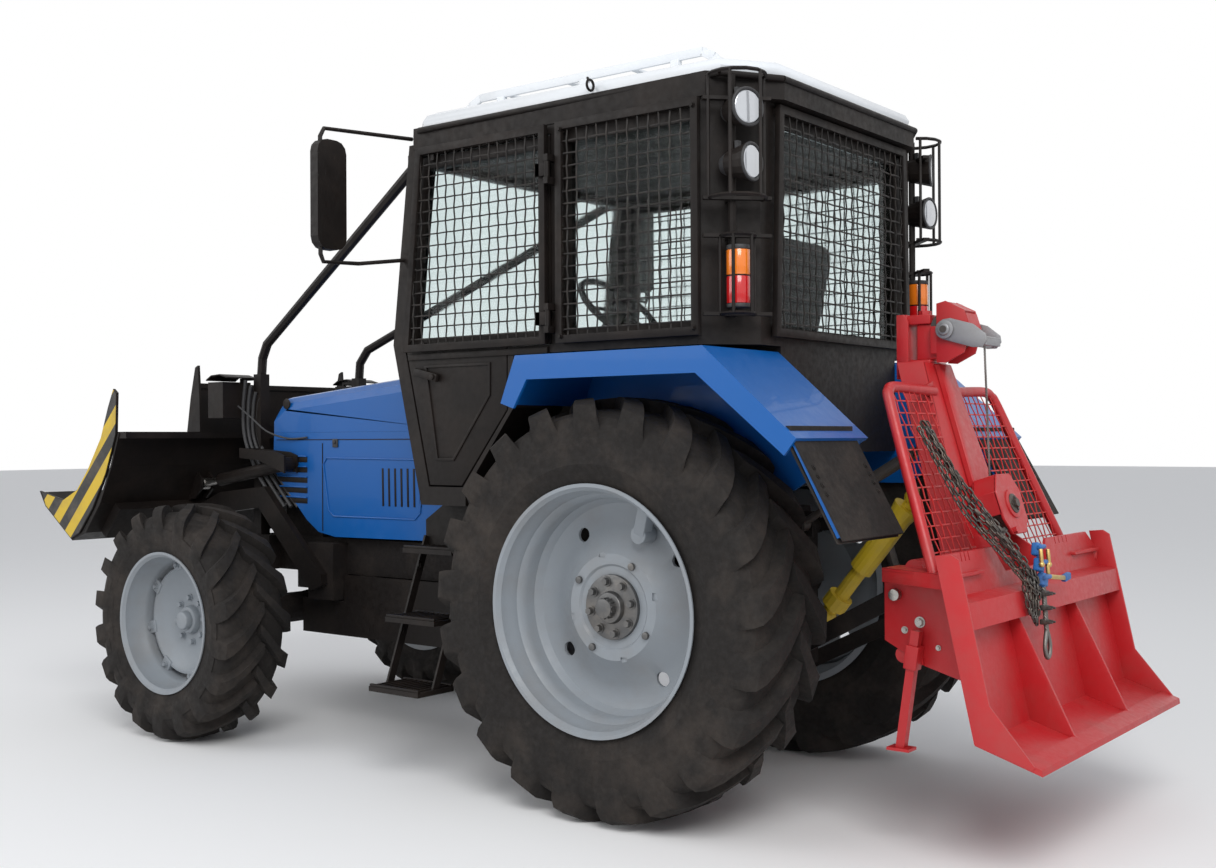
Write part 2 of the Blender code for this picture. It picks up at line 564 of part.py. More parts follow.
def make_glazing():
    """One pane in each opening, just clear of its edges."""
    seat = 0.0006
    rear = box((CAB_REAR_X + 0.012, CAB_REAR_X + 0.012 + GLASS_T),
               (-REAR_WINDOW_Y + seat, REAR_WINDOW_Y - seat),
               (REAR_WINDOW_Z[0] + seat, REAR_WINDOW_Z[1] - seat))
    node("rear_window", rear, "glass")
    lean = (CAB_FRONT_MID_X - CAB_FRONT_TOP_X) / (CAB_TOP_Z - CAB_MID_Z)
    low, high = CAB_MID_Z + 0.01, SHIELD_WINDOW_Z[1] - seat * 2
    front = [CAB_FRONT_MID_X - lean * (z - CAB_MID_Z) - 0.015 for z in (low, high)]
    pane = [(front[0], low), (front[0] - GLASS_T, low), (front[1] - GLASS_T, high), (front[1], high)]
    reach = SHIELD_WINDOW_Y - seat
    node("windshield", plate("xz", [pane], -reach, reach), "glass")


def shrunk(outline, inset):
    """A convex outline moved inward by inset, for a pane inside its opening."""
    ring = [Vector(p) for p in outline]
    centre = sum(ring, Vector((0, 0))) / len(ring)
    return [tuple(p + (centre - p).normalized() * inset) for p in ring]


def ring_frame(outline, inset):
    """An outline with the hole that leaves a border all round it."""
    return [outline, shrunk(outline, inset)]


def guard_panel(outline, side_sign, reach):
    """A flat-bar frame with its woven mesh as one thin sheet, standing off the cab side."""
    low, high = sorted((side_sign * (CAB_Y + reach), side_sign * (CAB_Y + reach + GUARD_T)))
    frame = plate("xz", ring_frame(outline, 0.045), low, high)
    middle = (low + high) / 2
    sheet = plate("xz", [shrunk(outline, 0.02)], middle - 0.003, middle + 0.003)
    return frame, sheet


DOOR_GUARD = [(0.292, 1.745), (1.062, 1.745), (0.982, 2.575), (0.292, 2.575)]
SIDE_GUARD = [(-0.405, 1.745), (0.240, 1.745), (0.240, 2.575), (-0.405, 2.575)]
GUARD_STAND = 0.012


def make_doors_and_guards():
    for name, sign in SIDES:
        hinge = (DOOR_HINGE_X, sign * DOOR_HINGE_Y, DOOR_BOTTOM_Z)
        low, high = sorted((sign * (CAB_Y - DOOR_T), sign * CAB_Y))
        panel = plate("xz", [door_outline(RUN), window_outline()], low, high)
        knuckles = []
        for z in DOOR_HINGE_Z:
            middle = (DOOR_HINGE_X, sign * DOOR_HINGE_Y)
            knuckles.append(rod((*middle, z - 0.03), (*middle, z + 0.03), 0.010, 10))
            knuckles.append(box((DOOR_HINGE_X, DOOR_REAR_X + 0.035),
                                sorted((sign * (DOOR_HINGE_Y - 0.004), sign * (DOOR_HINGE_Y + 0.004))),
                                (z - 0.025, z + 0.025)))
            knuckles.append(box((DOOR_REAR_X + 0.012, DOOR_REAR_X + 0.035),
                                sorted((sign * (CAB_Y - 0.01), sign * (DOOR_HINGE_Y + 0.004))),
                                (z - 0.025, z + 0.025)))
        lugs = [box((x - 0.012, x + 0.012), sorted((sign * (CAB_Y - 0.01), sign * (CAB_Y + GUARD_STAND + 0.01))),
                    (z - 0.012, z + 0.012)) for x, z in ((0.960, 1.770), (0.900, 2.530))]
        frame, sheet = guard_panel(DOOR_GUARD, sign, GUARD_STAND)
        handle = beam((0.90, sign * (CAB_Y + 0.006), 1.62), (1.02, sign * (CAB_Y + 0.006), 1.66), 0.02, 0.03)
        join(panel, frame, sheet, *knuckles, *lugs, handle)
        node(f"door_{name}", panel, "black_paint", hinge)
        frame, sheet = guard_panel(SIDE_GUARD, sign, GUARD_STAND)
        stands = [box((x - 0.012, x + 0.012), sorted((sign * (CAB_Y + GAP), sign * (CAB_Y + GUARD_STAND + 0.01))),
                      (z - 0.012, z + 0.012)) for x in (-0.385, 0.215) for z in (1.770, 2.545)]
        node(f"side_guard_{name}", join(frame, sheet, *stands), "black_paint")
    x0 = CAB_REAR_X - GUARD_STAND
    outline = [(-0.535, 1.745), (0.535, 1.745), (0.505, 2.572), (-0.505, 2.572)]
    frame = plate("yz", ring_frame(outline, 0.045), x0 - GUARD_T, x0)
    sheet = plate("yz", [shrunk(outline, 0.02)], x0 - GUARD_T / 2 - 0.003, x0 - GUARD_T / 2 + 0.003)
    stands = [box((x0 - 0.01, CAB_REAR_X - GAP), (y - 0.012, y + 0.012), (z - 0.012, z + 0.012))
              for y in (-0.49, 0.49) for z in (1.775, 2.550)]
    node("rear_guard", join(frame, sheet, *stands), "black_paint")


def make_roof():
    low, high = ROOF_Z + GAP, ROOF_TOP_Z
    side = [(-0.585, low), (1.12, low), (1.10, low + 0.05), (0.92, high - 0.035), (0.60, high),
            (-0.22, high), (-0.45, high - 0.05), (-0.57, low + 0.055)]
    roof = plate("xz", [side], -0.745, 0.745)
    for sign in (-1, 1):
        wedge = [(-0.70, sign * 0.52), (-0.60, sign * 0.52), (-0.40, sign * 0.76), (-0.40, sign * 0.90),
                 (-0.70, sign * 0.90)]
        cut(roof, plate("xy", [wedge], low - 0.1, high + 0.1))
        wedge = [(1.30, sign * 0.62), (1.13, sign * 0.62), (0.98, sign * 0.76), (0.98, sign * 0.90),
                 (1.30, sign * 0.90)]
        cut(roof, plate("xy", [wedge], low - 0.1, high + 0.1))
    z = ROOF_TOP_Z + 0.035
    rack = tube([(-0.20, 0.47, z), (0.90, 0.47, z), (0.90, -0.47, z), (-0.20, -0.47, z)], 0.014, True)
    bars = [rod((x, -0.47, z), (x, 0.47, z), 0.010, 8) for x in (0.07, 0.35, 0.62)]
    feet = [rod((x, y, ROOF_TOP_Z - 0.08), (x, y, z), 0.012, 8) for x in (-0.18, 0.35, 0.88)
            for y in (-0.47, 0.47)]
    node("roof", join(roof, rack, *bars, *feet), "white_roof")


def make_interior():
    floor = CAB_FLOOR_Z + CAB_WALL + GAP
    rear_floor = CAB_REAR_FLOOR_Z + CAB_WALL + GAP
    pedestal = box((-0.20, 0.18), (-0.17, 0.17), (rear_floor, 1.50))
    cushion = box((-0.22, 0.26), (-0.24, 0.24), (1.49, 1.62))
    back = beam((-0.20, 0, 1.56), (-0.32, 0, 2.16), 0.44, 0.11)
    rests = [box((-0.22, 0.08), sorted((s * 0.235, s * 0.29)), (1.60, 1.76)) for _, s in SIDES]
    node("seat", join(cushion, back, pedestal, *rests), "seat_cloth")
    console = plate("xz", [[(0.66, floor), (0.93, floor), (1.02, 1.66), (0.92, 1.80), (0.74, 1.80),
                            (0.70, 1.60)]], -0.30, 0.30)
    column = rod((0.76, 0, 1.70), (0.545, 0, 1.925), 0.028, 12)
    axis = Vector((-0.215, 0, 0.225)).normalized()
    centre = Vector((0.545, 0, 1.925)) + axis * 0.02
    rim_points = []
    side, up = Vector((0, 1, 0)), axis.cross(Vector((0, 1, 0)))
    for i in range(20):
        angle = math.tau * i / 20
        rim_points.append(tuple(centre + 0.20 * (side * math.cos(angle) + up * math.sin(angle))))
    wheel = tube(rim_points, 0.015, True)
    hub = rod(tuple(centre - axis * 0.04), tuple(centre + axis * 0.02), 0.035, 12)
    spokes = [rod(tuple(centre), rim_points[i], 0.008, 8) for i in (0, 7, 13)]
    node("instrument_console", join(console, column, hub, wheel, *spokes), "dark_plastic")


def make_fenders():
    line = [(0.372, 1.520), (0.300, FENDER_TOP_Z), (-0.530, FENDER_TOP_Z), (-0.885, 1.385)]
    skirt = [(0.372, 1.520), (0.300, FENDER_TOP_Z), (-0.530, FENDER_TOP_Z), (-0.885, 1.385),
             (-0.840, 1.330), (-0.500, FENDER_TOP_Z - FENDER_SKIRT), (0.245, FENDER_TOP_Z - FENDER_SKIRT),
             (0.310, 1.500)]
    for name, sign in SIDES:
        low, high = sorted((sign * (FENDER_Y0 + 0.005), sign * (FENDER_Y1 - 0.005)))
        top = plate("xz", [strip(line, 0.012)], low, high)
        low, high = sorted((sign * (FENDER_Y1 - 0.012), sign * FENDER_Y1))
        outer = plate("xz", [skirt], low, high)
        low, high = sorted((sign * FENDER_Y0, sign * (FENDER_Y0 + 0.012)))
        inner = plate("xz", [[(0.372, 1.520), (0.300, FENDER_TOP_Z), (-0.530, FENDER_TOP_Z),
                              (-0.885, 1.385), (-0.60, 1.20), (0.36, 1.20)]], low, high)
        flap = beam((-0.850, sign * 0.725, 1.400), (-1.025, sign * 0.725, 1.075), 0.41, 0.012)
        node(f"fender_{name}", join(top, outer, inner, flap), "blue_paint")


def make_steps():
    treads = ((0.940, 0.61, 0.76), (0.665, 0.68, 0.86), (0.395, 0.75, 0.95))
    for name, sign in SIDES:
        shapes = []
        for z, y0, y1 in treads:
            shapes.append(box((0.81, 1.09), sorted((sign * y0, sign * y1)), (z - 0.02, z)))
        for x in (0.82, 1.08):
            shapes.append(beam((x, sign * 0.625, 0.98), (x, sign * 0.85, 0.380), 0.035, 0.010))
        top = plate("xz", [[(0.81, 0.91), (1.09, 0.91), (1.09, 1.05), (0.98, CAB_FLOOR_Z - GAP), (0.81, CAB_FLOOR_Z - GAP)]],
                    *sorted((sign * 0.600, sign * 0.625)))
        brace = box((0.86, 0.94), sorted((sign * 0.30, sign * 0.61)),
                    (0.985, 1.035))
        node(f"steps_{name}", join(top, brace, *shapes), "black_paint")


CAGE_X, CAGE_Y = -0.520, 0.710


def arc(centre, radius, start, end, count):
    """Points along a level arc, between two angles in degrees."""
    turns = [math.radians(start + (end - start) * i / count) for i in range(count + 1)]
    x, y, z = centre
    return [(x + radius * math.cos(a), y + radius * math.sin(a), z) for a in turns]


def mirrored(points, sign):
    return [(x, sign * y, z) for x, y, z in points]


def make_rear_lamps():
    """Per rear corner: a cage of hoops and bars, two work lamps and a caged tail lamp."""
    for name, sign in SIDES:
        shapes = []
        for radius, levels in ((0.102, (2.640, 2.215)), (0.062, (2.085, 1.815))):
            for z in levels:
                hoop = arc((CAGE_X, CAGE_Y, z), radius, 40, 245, 8)
                shapes.append(tube(mirrored(hoop, sign), 0.007, False, 0))
            for angle in (50, 110, 175, 235):
                a = math.radians(angle)
                x, y = CAGE_X + radius * math.cos(a), sign * (CAGE_Y + radius * math.sin(a))
                shapes.append(rod((x, y, levels[1]), (x, y, levels[0]), 0.006, 6))
        for z in (2.560, 2.215, 2.085, 1.815):
            shapes.append(beam((-0.605, sign * 0.625, z), (-0.435, sign * 0.795, z), 0.026, 0.012))
            shapes.append(beam((-0.4612, sign * 0.6702, z), (-0.520, sign * 0.729, z), 0.030, 0.012))
        post = rod((-0.500, sign * 0.709, 1.810), (-0.500, sign * 0.709, 2.645), 0.014, 8)
        for z, turn in ((2.520, 0.35), (2.335, 0.0)):
            face = Vector((-math.cos(turn), sign * math.sin(turn), 0)) * 0.055
            middle = Vector((CAGE_X - 0.005, sign * CAGE_Y, z))
            shapes.append(rod(tuple(middle - face * 0.6), tuple(middle + face), 0.045, 16, 0.068))
        shapes.append(rod((CAGE_X - 0.005, sign * CAGE_Y, 1.840), (CAGE_X - 0.005, sign * CAGE_Y, 2.045),
                          0.040, 12))
        node(f"rear_lamps_{name}", join(post, *shapes), "black_paint")


def make_mirrors():
    for name, sign in SIDES:
        frame = tube(mirrored([(1.085, CAB_Y + 0.0042, 2.130), (1.160, 0.93, 2.105), (1.190, 1.090, 2.100),
                               (1.190, 1.105, 2.130), (1.190, 1.105, 2.600), (1.190, 1.085, 2.635),
                               (1.0833, 0.7010, 2.640)], sign), 0.009)
        housing = box((1.170, 1.215), sorted((sign * 0.985, sign * 1.135)), (2.150, 2.590))
        bevel_edges(housing, lambda p: abs(abs(p.y) - 1.06) > 0.07 and abs(abs(p.z - 2.37) - 0.22) < 0.01,
                    0.05)
        node(f"mirror_{name}", join(frame, housing), "black_paint")


# Front guard and blade ---------------------------------------------------------------------
def make_front_guard():
    shapes = []
    for _, sign in SIDES:
        y = sign * POST_Y
        shapes.append(box((POST_X - POST_W / 2, POST_X + POST_W / 2), sorted((y - sign * POST_W / 2, y + sign * POST_W / 2)),
                          (RAIL_TOP + GAP, POST_TOP)))
        riser = [(POST_X, y, POST_TOP - 0.02), (POST_X - 0.01, y, 1.80), (POST_X - 0.06, y * 1.03, 1.87),
                 (CAB_FRONT_TOP_X + 0.045, sign * 0.66, 2.545)]
        shapes.append(tube(riser, 0.023, False, 2))
        shapes.append(box((1.0605, 1.110), sorted((sign * 0.62, sign * 0.70)), (2.520, 2.575)))
        for low, high in ((ARM_Y - 0.044, ARM_Y - 0.034), (ARM_Y + 0.034, ARM_Y + 0.044)):
            shapes.append(plate("xz", [[(2.240, 1.228), (2.440, 1.290), (2.585, 1.300), (2.585, 1.350),
                                        (2.300, 1.330), (2.240, 1.312)]],
                                *sorted((sign * low, sign * high))))
        shapes.append(box((2.540, 2.585), sorted((sign * 0.34, sign * (ARM_Y + 0.044))), (1.302, 1.348)))
        head = box((2.640, 2.760), sorted((sign * 0.330, sign * 0.500)), (1.500, 1.680))
        bracket = [box((2.540, 2.700), sorted((sign * 0.330, sign * 0.350)), (1.690, 1.702)),
                   box((2.690, 2.702), sorted((sign * 0.330, sign * 0.350)), (1.660, 1.702))]
        shapes += [head, *bracket]
    bars = [box((POST_X - 0.015, POST_X + 0.015), (-POST_Y, POST_Y), (z - 0.02, z + 0.02)) for z in (0.96, 1.44)]
    node("front_guard", join(*bars, *shapes), "black_paint")


STIFFENER = ((2.975, 1.050), (3.100, 0.905))  # rear face of the box section behind the blade
BLADE_BACK = [(2.862, 1.428), (2.925, 1.270), (3.025, 1.090), (3.150, 0.945), (3.262, 0.905), (3.535, 1.128)]


def make_blade():
    shell = plate("xz", [strip(BLADE_BACK[::-1], BLADE_T)], -BLADE_Y + 0.006, BLADE_Y - 0.006)
    side = [(2.890, 1.640), (2.935, 1.550), (2.996, 1.405), (3.109, 1.252), (3.207, 1.147), (3.335, 1.093),
            (BLADE_TIP_X, 1.134), (3.502, 1.058), (3.266, 0.900), (3.190, 0.930), (3.068, 1.060),
            (2.955, 1.230), (2.870, 1.420), (2.862, 1.620)]
    shapes = []
    for _, sign in SIDES:
        low, high = sorted((sign * (BLADE_Y - 0.012), sign * BLADE_Y))
        shapes.append(plate("xz", [side], low, high))
        fin = [(2.850, 1.400), (2.965, 1.400), (2.930, 1.600), (2.890, 1.760), (2.868, 1.770), (2.855, 1.600)]
        shapes.append(plate("xz", [fin], *sorted((sign * 0.470, sign * 0.484))))
        for low in (ARM_Y - 0.040, ARM_Y + 0.028):
            ear = [(2.905, 1.140), (2.960, 1.090), (3.030, 1.075), (2.985, 1.170), (2.950, 1.235), (2.905, 1.195)]
            shapes.append(plate("xz", [ear], *sorted((sign * low, sign * (low + 0.012)))))
    ledge = box((2.800, 2.872), (-BLADE_Y + 0.01, BLADE_Y - 0.01), (1.400, 1.432))
    web = [(3.028, 1.092), STIFFENER[0], STIFFENER[1], (3.152, 0.948)]
    stiffener = plate("xz", [web], -0.86, 0.86)
    mesh = box((2.878, 2.884), (-0.475, 0.475), (1.420, 1.670))
    bar = box((2.868, 2.892), (-0.475, 0.475), (1.655, 1.680))
    node("front_blade", join(shell, ledge, stiffener, mesh, bar, *shapes), "black_paint", (ARM_X, 0, ARM_Z))


def make_blade_arms():
    pivot = (ARM_X, 0, ARM_Z)
    cross = rod((2.760, -ARM_Y, 1.085), (2.760, ARM_Y, 1.085), 0.038, 12)
    shapes = []
    for _, sign in SIDES:
        low, high = Vector(STIFFENER[1]), Vector(STIFFENER[0])
        way = (high - low).normalized()
        off = Vector((-way.y, way.x)) * 0.0005 * (-1 if way.x * 1.0 > 0 else 1)
        ends = [tuple(low.lerp(high, share) + off) for share in (0.30, 1.0)]
        arm = [(ARM_X - 0.05, ARM_Z - 0.02), (ARM_X + 0.03, ARM_Z - 0.05), (2.470, 1.055), (2.760, 1.020),
               *ends, (2.780, 1.125), (2.430, 1.160), (ARM_X - 0.045, ARM_Z + 0.03)]
        shapes.append(plate("xz", [arm], *sorted((sign * (ARM_Y - ARM_T / 2), sign * (ARM_Y + ARM_T / 2)))))
    node("blade_arms", join(cross, *shapes), "black_paint", pivot)


def make_cylinders():
    base, end = Vector((CYL_X, 0, CYL_Z)), Vector((ROD_X, 0, ROD_Z))
    way = (end - base).normalized()
    for name, sign in SIDES:
        shift = Vector((0, sign * ARM_Y, 0))
        mouth = base + way * 0.520
        barrel = rod(tuple(base + way * 0.030 + shift), tuple(mouth + shift), CYL_R, 14)
        eye = rod((CYL_X, sign * (ARM_Y - 0.034 + 2 * GAP), CYL_Z), (CYL_X, sign * (ARM_Y + 0.034 - 2 * GAP), CYL_Z),
                  0.034, 14)
        bore = rod(tuple(base + way * 0.045 + shift), tuple(mouth + way * 0.01 + shift), ROD_R + 0.0008, 12)
        node(f"lift_cylinder_{name}", cut(join(barrel, eye), bore), "black_paint",
             (CYL_X, sign * ARM_Y, CYL_Z))
        stem = rod(tuple(base + way * 0.055 + shift), tuple(end - way * 0.02 + shift), ROD_R, 12)
        ring = rod((ROD_X, sign * (ARM_Y - 0.022), ROD_Z), (ROD_X, sign * (ARM_Y + 0.022), ROD_Z), 0.030, 14)
        node(f"lift_rod_{name}", join(stem, ring), "steel", (CYL_X, sign * ARM_Y, CYL_Z))


# Rear hitch -------------------------------------------------------------------------------
def make_hitch():
    for name, sign in SIDES:
        a, b = (LINK_X, sign * LINK_Y, LINK_Z), (PIN_X, sign * PIN_Y, PIN_Z)
        bar = beam(a, b, 0.022, 0.062)
        eyes = [rod((x, sign * (y - w), z), (x, sign * (y + w), z), r, 14)
                for x, y, z, w, r in ((*a[:1], LINK_Y, LINK_Z, 0.026, 0.040), (PIN_X, PIN_Y, PIN_Z, 0.022, 0.042))]
        middle = Vector(a).lerp(Vector(b), 0.5)
        boss = box((middle.x - 0.02, middle.x + 0.02), sorted((middle.y - 0.018, middle.y + 0.018)),
                   (middle.z, middle.z + 0.055))
        node(f"lower_link_{name}", join(bar, *eyes, boss), "cast_black", (LINK_X, 0, LINK_Z))
    a, b = Vector((TOP_X, 0, TOP_Z)), Vector((TOP_END_X, 0, TOP_END_Z))
    sleeve = rod(tuple(a.lerp(b, 0.18)), tuple(a.lerp(b, 0.80)), 0.024, 12)
    screw = rod(tuple(a), tuple(a.lerp(b, 0.99)), 0.015, 10)
    eye = rod((TOP_X, -0.0296, TOP_Z), (TOP_X, 0.0296, TOP_Z), 0.028, 12)
    ball = rod((TOP_END_X, -0.020, TOP_END_Z), (TOP_END_X, 0.020, TOP_END_Z), 0.028, 12)
    node("top_link", join(sleeve, screw, eye, ball), "dark_steel", (TOP_X, 0, TOP_Z))
    shaft = rod((ROCK_X, -ROCK_Y - 0.02, ROCK_Z), (ROCK_X, ROCK_Y + 0.02, ROCK_Z), ROCK_R, 20)
    arms = [beam((ROCK_X, s * ROCK_Y, ROCK_Z), (ROCK_END_X, s * ROCK_Y, ROCK_END_Z), 0.030, 0.055) for _, s in SIDES]
    node("lift_arms", join(shaft, *arms), "cast_black", (ROCK_X, 0, ROCK_Z))
    for name, sign in SIDES:
        top = Vector((ROCK_END_X, sign * (ROCK_Y + 0.034), ROCK_END_Z))
        low = Vector((-0.605, sign * (ROCK_Y + 0.034), 0.735))
        stem = rod(tuple(top), tuple(low), 0.014, 10)
        eye = rod((ROCK_END_X, sign * (ROCK_Y + 0.0154), ROCK_END_Z), (ROCK_END_X, sign * (ROCK_Y + 0.055), ROCK_END_Z),
                  0.026, 12)
        turnbuckle = rod(tuple(top.lerp(low, 0.35)), tuple(top.lerp(low, 0.7)), 0.022, 10)
        node(f"hitch_rod_{name}", join(stem, eye, turnbuckle), "dark_steel", (ROCK_END_X, 0, ROCK_END_Z))


def make_pto_shaft():
    a, b = Vector((PTO_X, 0, PTO_Z)), Vector((PTO_END_X, 0, PTO_END_Z))
    way = (b - a).normalized()
    joint = join(ball(tuple(a), PTO_BALL_R), rod(tuple(a), tuple(a + way * 0.06), 0.025, 10),
                 rod(tuple(a + way * 0.045), tuple(a + way * 0.10), 0.050, 14))
    tube_front = rod(tuple(a + way * 0.08), tuple(a + way * 0.36), 0.030, 14)
    node("pto_shaft_front", join(joint, tube_front), "yellow_guard", tuple(a))
    outer = rod(tuple(a + way * 0.235), tuple(b - way * 0.08), 0.045, 16)
    cone = rod(tuple(b - way * 0.10), tuple(b - way * 0.045), 0.045, 16, 0.055)
    tip = join(ball(tuple(b), PTO_BALL_R), rod(tuple(b - way * 0.06), tuple(b), 0.025, 10))
    bore = rod(tuple(a + way * 0.225), tuple(a + way * 0.480), 0.0308, 14)
    node("pto_shaft_rear", cut(join(outer, cone, tip), bore), "yellow_guard", tuple(a))


# Winch ------------------------------------------------------------------------------------
def leaning(shape, low, high):
    """Shears an upright shape so that x = 0 follows the line from low (x, z) to high (x, z)."""
    for vertex in shape.data.vertices:
        share = (vertex.co.z - low[1]) / (high[1] - low[1])
        vertex.co.x += low[0] + (high[0] - low[0]) * share
    return shape


MAST_LOW, MAST_TOP = (-1.170, 0.900), (-0.925, 1.660)
MAST_DEPTH, MAST_SHEET = 0.100, 0.012
CHEEK_Y = PIN_Y + 0.034


def make_mast():
    """A tapered channel, open to the front, with the stubs that the top link pins to."""
    outline = [(-0.155, 0.900), (0.155, 0.900), (0.095, 1.660), (-0.095, 1.660)]
    inside = [(-0.155 + MAST_SHEET, 0.80), (0.155 - MAST_SHEET, 0.80), (0.095 - MAST_SHEET, 1.648),
              (-0.095 + MAST_SHEET, 1.648)]
    mast = leaning(plate("yz", [outline], 0.0, MAST_DEPTH), MAST_LOW, MAST_TOP)
    hollow = leaning(plate("yz", [inside], MAST_SHEET, MAST_DEPTH + 0.05), MAST_LOW, MAST_TOP)
    cut(mast, hollow)
    stubs = [rod((TOP_END_X, s * 0.0206, TOP_END_Z), (TOP_END_X, s * 0.112, TOP_END_Z), 0.016, 10)
             for _, s in SIDES]
    bracket = box((-0.880, -0.800), (-0.060, 0.060), (1.600, 1.840))
    notch = box((-0.930, -0.838), (-0.070, 0.070), (1.6712, 1.8008))
    lugs = [box((-0.915, -0.860), (-0.035, 0.035), z) for z in ((1.640, 1.671), (1.801, 1.832))]
    return join(cut(join(mast, bracket, *lugs), notch), *stubs)


def make_winch():
    hinge = (PIN_X, 0, PIN_Z)
    mast = make_mast()
    shapes = [rod((-1.060, -CHEEK_Y, 0.945), (-1.060, CHEEK_Y, 0.945), 0.032, 12),
              rod((-1.020, -CHEEK_Y, 0.655), (-1.020, CHEEK_Y, 0.655), 0.028, 12)]
    for _, sign in SIDES:
        cheek = [(-0.955, 0.930), (-1.262, 0.980), (-1.372, 0.470), (-1.330, 0.560), (-1.100, 0.625),
                 (-0.955, 0.700)]
        shapes.append(plate("xz", [cheek], *sorted((sign * (CHEEK_Y - 0.006), sign * (CHEEK_Y + 0.006)))))
        ear = [(-0.955, 0.805), (-0.955, 0.930), (-1.085, 0.940), (-1.085, 0.780)]
        shapes.append(plate("xz", [ear], *sorted((sign * (PIN_Y - 0.040), sign * (PIN_Y - 0.028)))))
        for inner, outer in ((0.0224, 0.040), (-0.040, -0.0224)):
            shapes.append(rod((PIN_X, sign * (PIN_Y + inner), PIN_Z), (PIN_X, sign * (PIN_Y + outer), PIN_Z), 0.020, 10))
        shapes.append(box((-1.275, -0.990), sorted((sign * (CHEEK_Y - 0.050), sign * 0.640)), (0.935, 0.953)))
        rail = [(-0.955, 0.080, 1.555), (-0.952, 0.420, 1.560), (-0.958, 0.450, 1.545), (-0.970, 0.462, 1.510),
                (-1.190, 0.600, 0.945)]
        shapes.append(tube(mirrored(rail, sign), 0.018))
        net = [(sign * y, z) for y, z in ((0.100, 1.550), (0.445, 1.550), (0.595, 0.945), (0.130, 0.945))]
        shapes.append(leaning(plate("yz", [net], -0.002, 0.002), (-1.190, 0.945), (-0.955, 1.555)))
        shapes.append(box((-1.100, -1.050), sorted((sign * CHEEK_Y, sign * (LEG_Y - 0.017))), (0.630, 0.690)))
        sleeve_low, sleeve_high = leg_point(sign, 0.270), leg_point(sign, 0.350)
        shapes.append(cut(beam(sleeve_low, sleeve_high, 0.046, 0.046),
                          beam(leg_point(sign, 0.20), leg_point(sign, 0.42), 0.0306, 0.0306)))
    shield = [(-SHIELD_Y, SHIELD_LOW_Z), (SHIELD_Y, SHIELD_LOW_Z), (SHIELD_Y, SHIELD_TOP_Z), (0.20, SHIELD_TOP_Z),
              (0.155, 0.930), (-0.155, 0.930), (-0.20, SHIELD_TOP_Z), (-SHIELD_Y, SHIELD_TOP_Z)]
    low, high = (SHIELD_LOW_X, SHIELD_LOW_Z), (SHIELD_TOP_X, SHIELD_TOP_Z)
    shapes.append(leaning(plate("yz", [shield], -0.005, 0.005), low, high))
    lip = strip([(WINCH_TIP_X, 0.372), (SHIELD_LOW_X + 0.004, SHIELD_LOW_Z - 0.004)], 0.010)
    shapes.append(plate("xz", [lip], -SHIELD_Y, SHIELD_Y))
    end = [(SHIELD_TOP_X + 0.004, SHIELD_TOP_Z), (SHIELD_LOW_X + 0.004, SHIELD_LOW_Z - 0.002),
           (WINCH_TIP_X + 0.030, 0.386), (-1.420, 0.565), (-1.325, 1.005)]
    rib = [(SHIELD_TOP_X - 0.052, 0.780), (SHIELD_LOW_X + 0.002, SHIELD_LOW_Z), (-1.525, 0.398), (-1.340, 0.770)]
    for y, outline in ((SHIELD_Y - 0.002, end), (0.002 - SHIELD_Y, end), (0.270, rib), (-0.270, rib)):
        shapes.append(plate("xz", [outline], y - 0.005, y + 0.005))
    shapes.append(plate("xz", [[(-1.275, 0.880), (-1.345, 0.870), (-1.362, 0.790), (-1.292, 0.800)]],
                        0.008 - SHIELD_Y, SHIELD_Y - 0.008))
    for y in (-0.140, 0.140):
        shapes.append(plate("xz", [[(-1.100, 0.905), (-1.282, 0.880), (-1.262, 0.975), (-1.140, 1.050)]],
                            y - 0.005, y + 0.005))
    node("winch_frame", join(mast, *shapes), "red_paint", hinge)


def leg_point(sign, along_leg):
    """A point on a stand leg's centre line, so far up from its foot."""
    rise = math.sqrt(1 - LEG_LEAN ** 2)
    return (LEG_FOOT_X - LEG_LEAN * along_leg, sign * LEG_Y, LEG_FOOT_Z + rise * along_leg)


